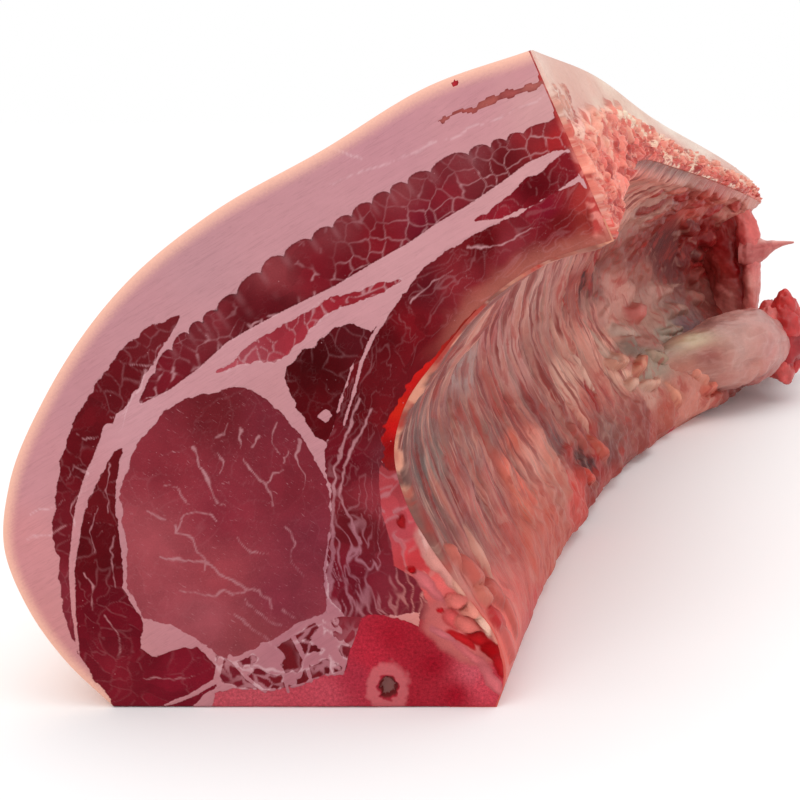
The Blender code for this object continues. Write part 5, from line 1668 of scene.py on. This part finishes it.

# %% [markdown]
# ## The flank fold and its tip
#
# At the far end a thick fold of flank meat hangs down beside the hollow, with a dark red gap behind it and one
# pointed tip that sticks out. The gap's dark red is partly the meat's own and partly painted shade. Each is a tube of
# oval sections whose path is given point by point.

# %% Flank fold
# along, across, height, half thickness, half width
OUTER_FOLD = [
    (0.89, -23, 151, 3, 5), (0.897, -19, 147, 7, 8), (0.90, -12, 139, 9, 11), (0.905, -5.5, 124, 8.5, 11),
    (0.907, -2, 106, 7.5, 11), (0.91, 1, 88, 6, 10), (0.91, 2, 72, 6, 9), (0.91, 0, 54, 6, 8),
]
INNER_FOLD = [
    (0.885, -29, 143, 5, 5), (0.893, -26, 135, 12, 8), (0.903, -22, 120, 18, 9), (0.908, -18, 98, 20, 9),
    (0.91, -14, 76, 19, 9), (0.91, -10, 46, 15, 8),
]
FLANK_TIP = [
    (0.905, -6, 104, 11, 10), (0.905, 3, 104, 10.5, 9), (0.908, 8, 105, 8.4, 7), (0.91, 12, 106.4, 5.8, 5),
    (0.915, 17, 108, 3.6, 3.4), (0.92, 23, 109.4, 1.9, 2), (0.925, 29, 110, 0.7, 0.8),
]


def oval_tube(name, rows, tones, seed, uneven=0.2):
    """Oval sections along a path beside the chine, made uneven by waves: every section lies across the path.

    tones: (millimetres along the path, turn round it in degrees, red, green, blue).
    """
    rows = np.array(rows, float)
    at = np.linspace(0, 1, 110)
    where = rows[:, :3] * (WALL_LENGTH, 1, 1)
    along, across, height, thick, wide = curve_at(rows, shares_along(where), at).T
    centre = beside_chine(along, across, height)
    with_loin = np.cross([0.0, 0.0, 1.0], sideways(along))
    ahead = np.gradient(centre, axis=0)
    ahead /= np.linalg.norm(ahead, axis=1, keepdims=True)
    over = np.cross(ahead, with_loin)
    over /= np.linalg.norm(over, axis=1, keepdims=True)
    turn = np.linspace(0, 2 * np.pi, 80, endpoint=False)
    thick, wide = np.maximum(thick, 0.3)[:, None], np.maximum(wide, 0.3)[:, None]
    path = at[:, None] * np.linalg.norm(np.diff(where, axis=0), axis=1).sum() + 0 * turn
    spots = joined(path, thick * np.cos(turn), wide * np.sin(turn))
    swell = 1 + uneven * rough(spots, 15, seed) + 0.5 * uneven * rough(spots, 6, seed + 1)
    side = over[:, None] * (thick * swell * MM)[..., None]
    rise = with_loin[:, None] * (wide * swell * MM)[..., None]
    around = np.degrees(np.arctan2(np.sin(turn), np.cos(turn))) * 0.3 + 0 * path
    tones = np.array(tones, float) * (1, 0.3, 1, 1, 1)
    marks = np.broadcast_to((0.0, 0.6, 0.7), spots.shape)
    tone = anchored(joined(path, around), tones, 2.5)
    return tube(name, centre, side, rise, {"tone": tone, "wall": spots + seed, "marks": marks}, len(turn))


print("the outer fold is %d mm high" % (OUTER_FOLD[0][2] - OUTER_FOLD[-1][2]))

# %% Tones of the folds: millimetres along the path, turn round it, red, green, blue
# Where the two folds meet, the pink fold's tones at turns of -150 to -160 and the red fold's at -50 to -72 are a deep
# dark red: partly the meat's own red and partly painted shade in the slit between them.
PINK_FOLD = [
    (0, -90, 214, 100, 90), (20, -60, 222, 112, 102), (20, -150, 196, 56, 52), (40, -60, 226, 106, 100),
    (40, -160, 150, 8, 16), (60, -60, 226, 116, 112), (60, -150, 160, 14, 22), (80, -80, 230, 146, 136),
    (100, -90, 226, 130, 122), (50, 90, 200, 70, 66), (50, -100, 206, 66, 66),
]
RED_FOLD = [
    (0, -90, 190, 56, 48), (20, -72, 150, 4, 12), (20, -120, 190, 70, 60), (40, -68, 146, 2, 12),
    (40, -100, 170, 30, 30), (40, -150, 190, 84, 74), (60, -60, 146, 2, 12), (60, -95, 180, 50, 44),
    (60, -140, 160, 54, 48), (80, -50, 150, 6, 14), (80, -90, 226, 136, 126), (100, -90, 230, 150, 138),
    (50, 90, 150, 40, 40),
]
TIP = [(0, 0, 200, 96, 90), (12, 90, 216, 132, 122), (22, 0, 230, 168, 158), (14, -90, 196, 96, 92)]
for name, rows, tones, seed in (
    ("flank_outer_fold", OUTER_FOLD, PINK_FOLD, 131), ("flank_inner_fold", INNER_FOLD, RED_FOLD, 135),
    ("flank_tip", FLANK_TIP, TIP, 139),
):
    nodes = ["flank_flap"] if name == "flank_outer_fold" else []
    finished(oval_tube(name, rows, tones, seed), SHEATH, "flank", *nodes)

# %% [markdown]
# ## The knob of the tenderloin
#
# Where the tenderloin was cut from the leg, its bare end is a soft red knob of several lobes. Each lobe is a
# ball stretched three ways and made uneven by waves. They are given as one table, and one call makes all the
# balls as whole arrays. One single ball would look like a toy; overlapping lobes look like cut meat.

# %% Knob
# along, height, how far it stands off the chine, half length, half width, half thickness, turn in degrees,
# taper, and the tone
KNOB_LOBES = [
    (0.85, 64, 26, 12, 10, 9, 40, 0.2, 206, 72, 68), (0.85, 64, 37, 14, 12, 11, 100, 0.2, 200, 54, 52),
    (0.85, 52, 34, 21, 17, 15, 60, 0.1, 192, 46, 46), (0.845, 43, 36, 19, 13, 13, 95, 0.1, 160, 20, 28),
    (0.845, 32, 33, 18, 14, 13, 110, 0.2, 206, 72, 68), (0.835, 48, 27, 21, 12, 9, 84, 0.2, 206, 96, 90),
    (0.88, 48, 36, 24, 17, 15, 20, 0.2, 186, 44, 46), (0.86, 37, 42, 15, 12, 11, 60, 0.2, 184, 42, 44),
]


def lobes(name, rows, seed, rings=31, turns=41):
    """Balls (cos v, sin v cos u, sin v sin u), stretched, tapered towards their far end, and made uneven."""
    rows = np.array(rows, float)
    v, u = np.linspace(0, np.pi, rings)[:, None], np.linspace(0, 2 * np.pi, turns)[None]
    ball = joined(np.cos(v) + 0 * u, np.sin(v) * np.cos(u), np.sin(v) * np.sin(u))
    local = ball[None] * rows[:, None, None, 3:6]
    local[..., 1:] *= (1 - rows[:, None, None, 7] * (0.5 + 0.5 * ball[None, ..., 0]))[..., None]
    spots = local + np.arange(len(rows))[:, None, None, None] * 37.0
    local = local * (1 + 0.27 * rough(spots, 12, seed) + 0.12 * rough(spots, 5, seed + 4))[..., None]
    turn = np.radians(rows[:, 6])[:, None]
    away, over = sideways(rows[:, 0]), np.array([0.0, 0.0, 1.0])
    ahead = np.cross(over, away)
    long, wide = ahead * np.cos(turn) + over * np.sin(turn), over * np.cos(turn) - ahead * np.sin(turn)
    axes = np.stack([long, wide, away], axis=1)
    middle = beside_chine(rows[:, 0], rows[:, 2], rows[:, 1])[:, None, None]
    points = middle + np.einsum("nvuk,nkx->nvux", local, axes) * MM
    tone = linear(rows[:, 8:])[:, None, None] * (1 + 0.22 * rough(spots, 6, seed + 7))[..., None]
    cells = grid_cells(rings, turns)[None] + (np.arange(len(rows)) * rings * turns)[:, None, None]
    values = {"tone": np.maximum(tone, 0), "wall": spots, "marks": np.broadcast_to((0.0, 0.15, 0.6), points.shape)}
    values = {key: numbers.reshape(-1, 3) for key, numbers in values.items()}
    return mesh_from(name, points.reshape(-1, 3), cells.reshape(-1, 4), values)


finished(lobes("tenderloin_knob", KNOB_LOBES, 156), SHEATH, "tenderloin")

# %% [markdown]
# ## Floor, light and camera
#
# A piece of food looks best in broad soft light: a bright surrounding fills the shadows and one large lamp
# from the upper left models the form. Strong small lamps would put white dots on the moist surface.

# %% Floor, lights and camera
CAMERA_PLACE, CAMERA_DOWN, CAMERA_LENS, FILM_WIDTH = (-0.099, -0.800, 0.20144), 11.572, 62.3, 36
# kind, place in metres, and power in watts or strength
LAMPS = {"key": ("AREA", (-0.75, -1.3, 1.25), 6), "top": ("SUN", (0.2, 0.3, 1.6), 1.1),
         "fill": ("AREA", (1.1, -1.0, 0.75), 2.6)}
LAMP_SIZE, SUN_SPREAD = 1.2, radians(70)
SKY_ON_OBJECT, SKY_SEEN = 0.70, 1.0


def stage_and_light():
    """A pale floor, a white surrounding, one large soft lamp, and the camera in front of the cut end."""
    mesh = bpy.data.meshes.new("floor")
    mesh.from_pydata([(-40, -40, 0), (40, -40, 0), (40, 40, 0), (-40, 40, 0)], [], [(0, 1, 2, 3)])
    floor = bpy.data.objects.new("floor", mesh)
    f = Finish("pale floor", Roughness=0.9, Specular_IOR_Level=0.0)
    mesh.materials.append(f.done((0.97, 0.97, 0.97)))
    bpy.context.scene.collection.objects.link(floor)
    world = bpy.data.worlds.new("studio")
    bpy.context.scene.world = world
    world.use_nodes = True
    nodes, links = world.node_tree.nodes, world.node_tree.links
    sky = nodes["Background"]
    rays = nodes.new("ShaderNodeLightPath")
    power = nodes.new("ShaderNodeMapRange")
    links.new(rays.outputs["Is Camera Ray"], power.inputs[0])
    power.inputs[3].default_value, power.inputs[4].default_value = SKY_ON_OBJECT, SKY_SEEN
    links.new(power.outputs[0], sky.inputs["Strength"])
    sky.inputs["Color"].default_value = (1, 1, 1, 1)
    for name, (kind, spot, power) in LAMPS.items():
        light = bpy.data.lights.new(name, kind)
        light.energy = power
        if kind == "AREA":
            light.shape, light.size = "DISK", LAMP_SIZE
        else:
            light.angle = SUN_SPREAD
        lamp = bpy.data.objects.new(name, light)
        lamp.location = spot
        lamp.rotation_euler = (-Vector(spot)).to_track_quat("-Z", "Y").to_euler()
        bpy.context.scene.collection.objects.link(lamp)
    camera = bpy.data.objects.new("camera", bpy.data.cameras.new("camera"))
    camera.data.lens, camera.data.sensor_width = CAMERA_LENS, FILM_WIDTH
    camera.location = CAMERA_PLACE
    camera.rotation_euler = (radians(90 - CAMERA_DOWN), 0, 0)
    bpy.context.scene.collection.objects.link(camera)
    bpy.context.scene.camera = camera
    bpy.context.scene.view_settings.view_transform = "Standard"
    print("camera lens %.1f mm, lamps:" % camera.data.lens, ", ".join(LAMPS))


stage_and_light()
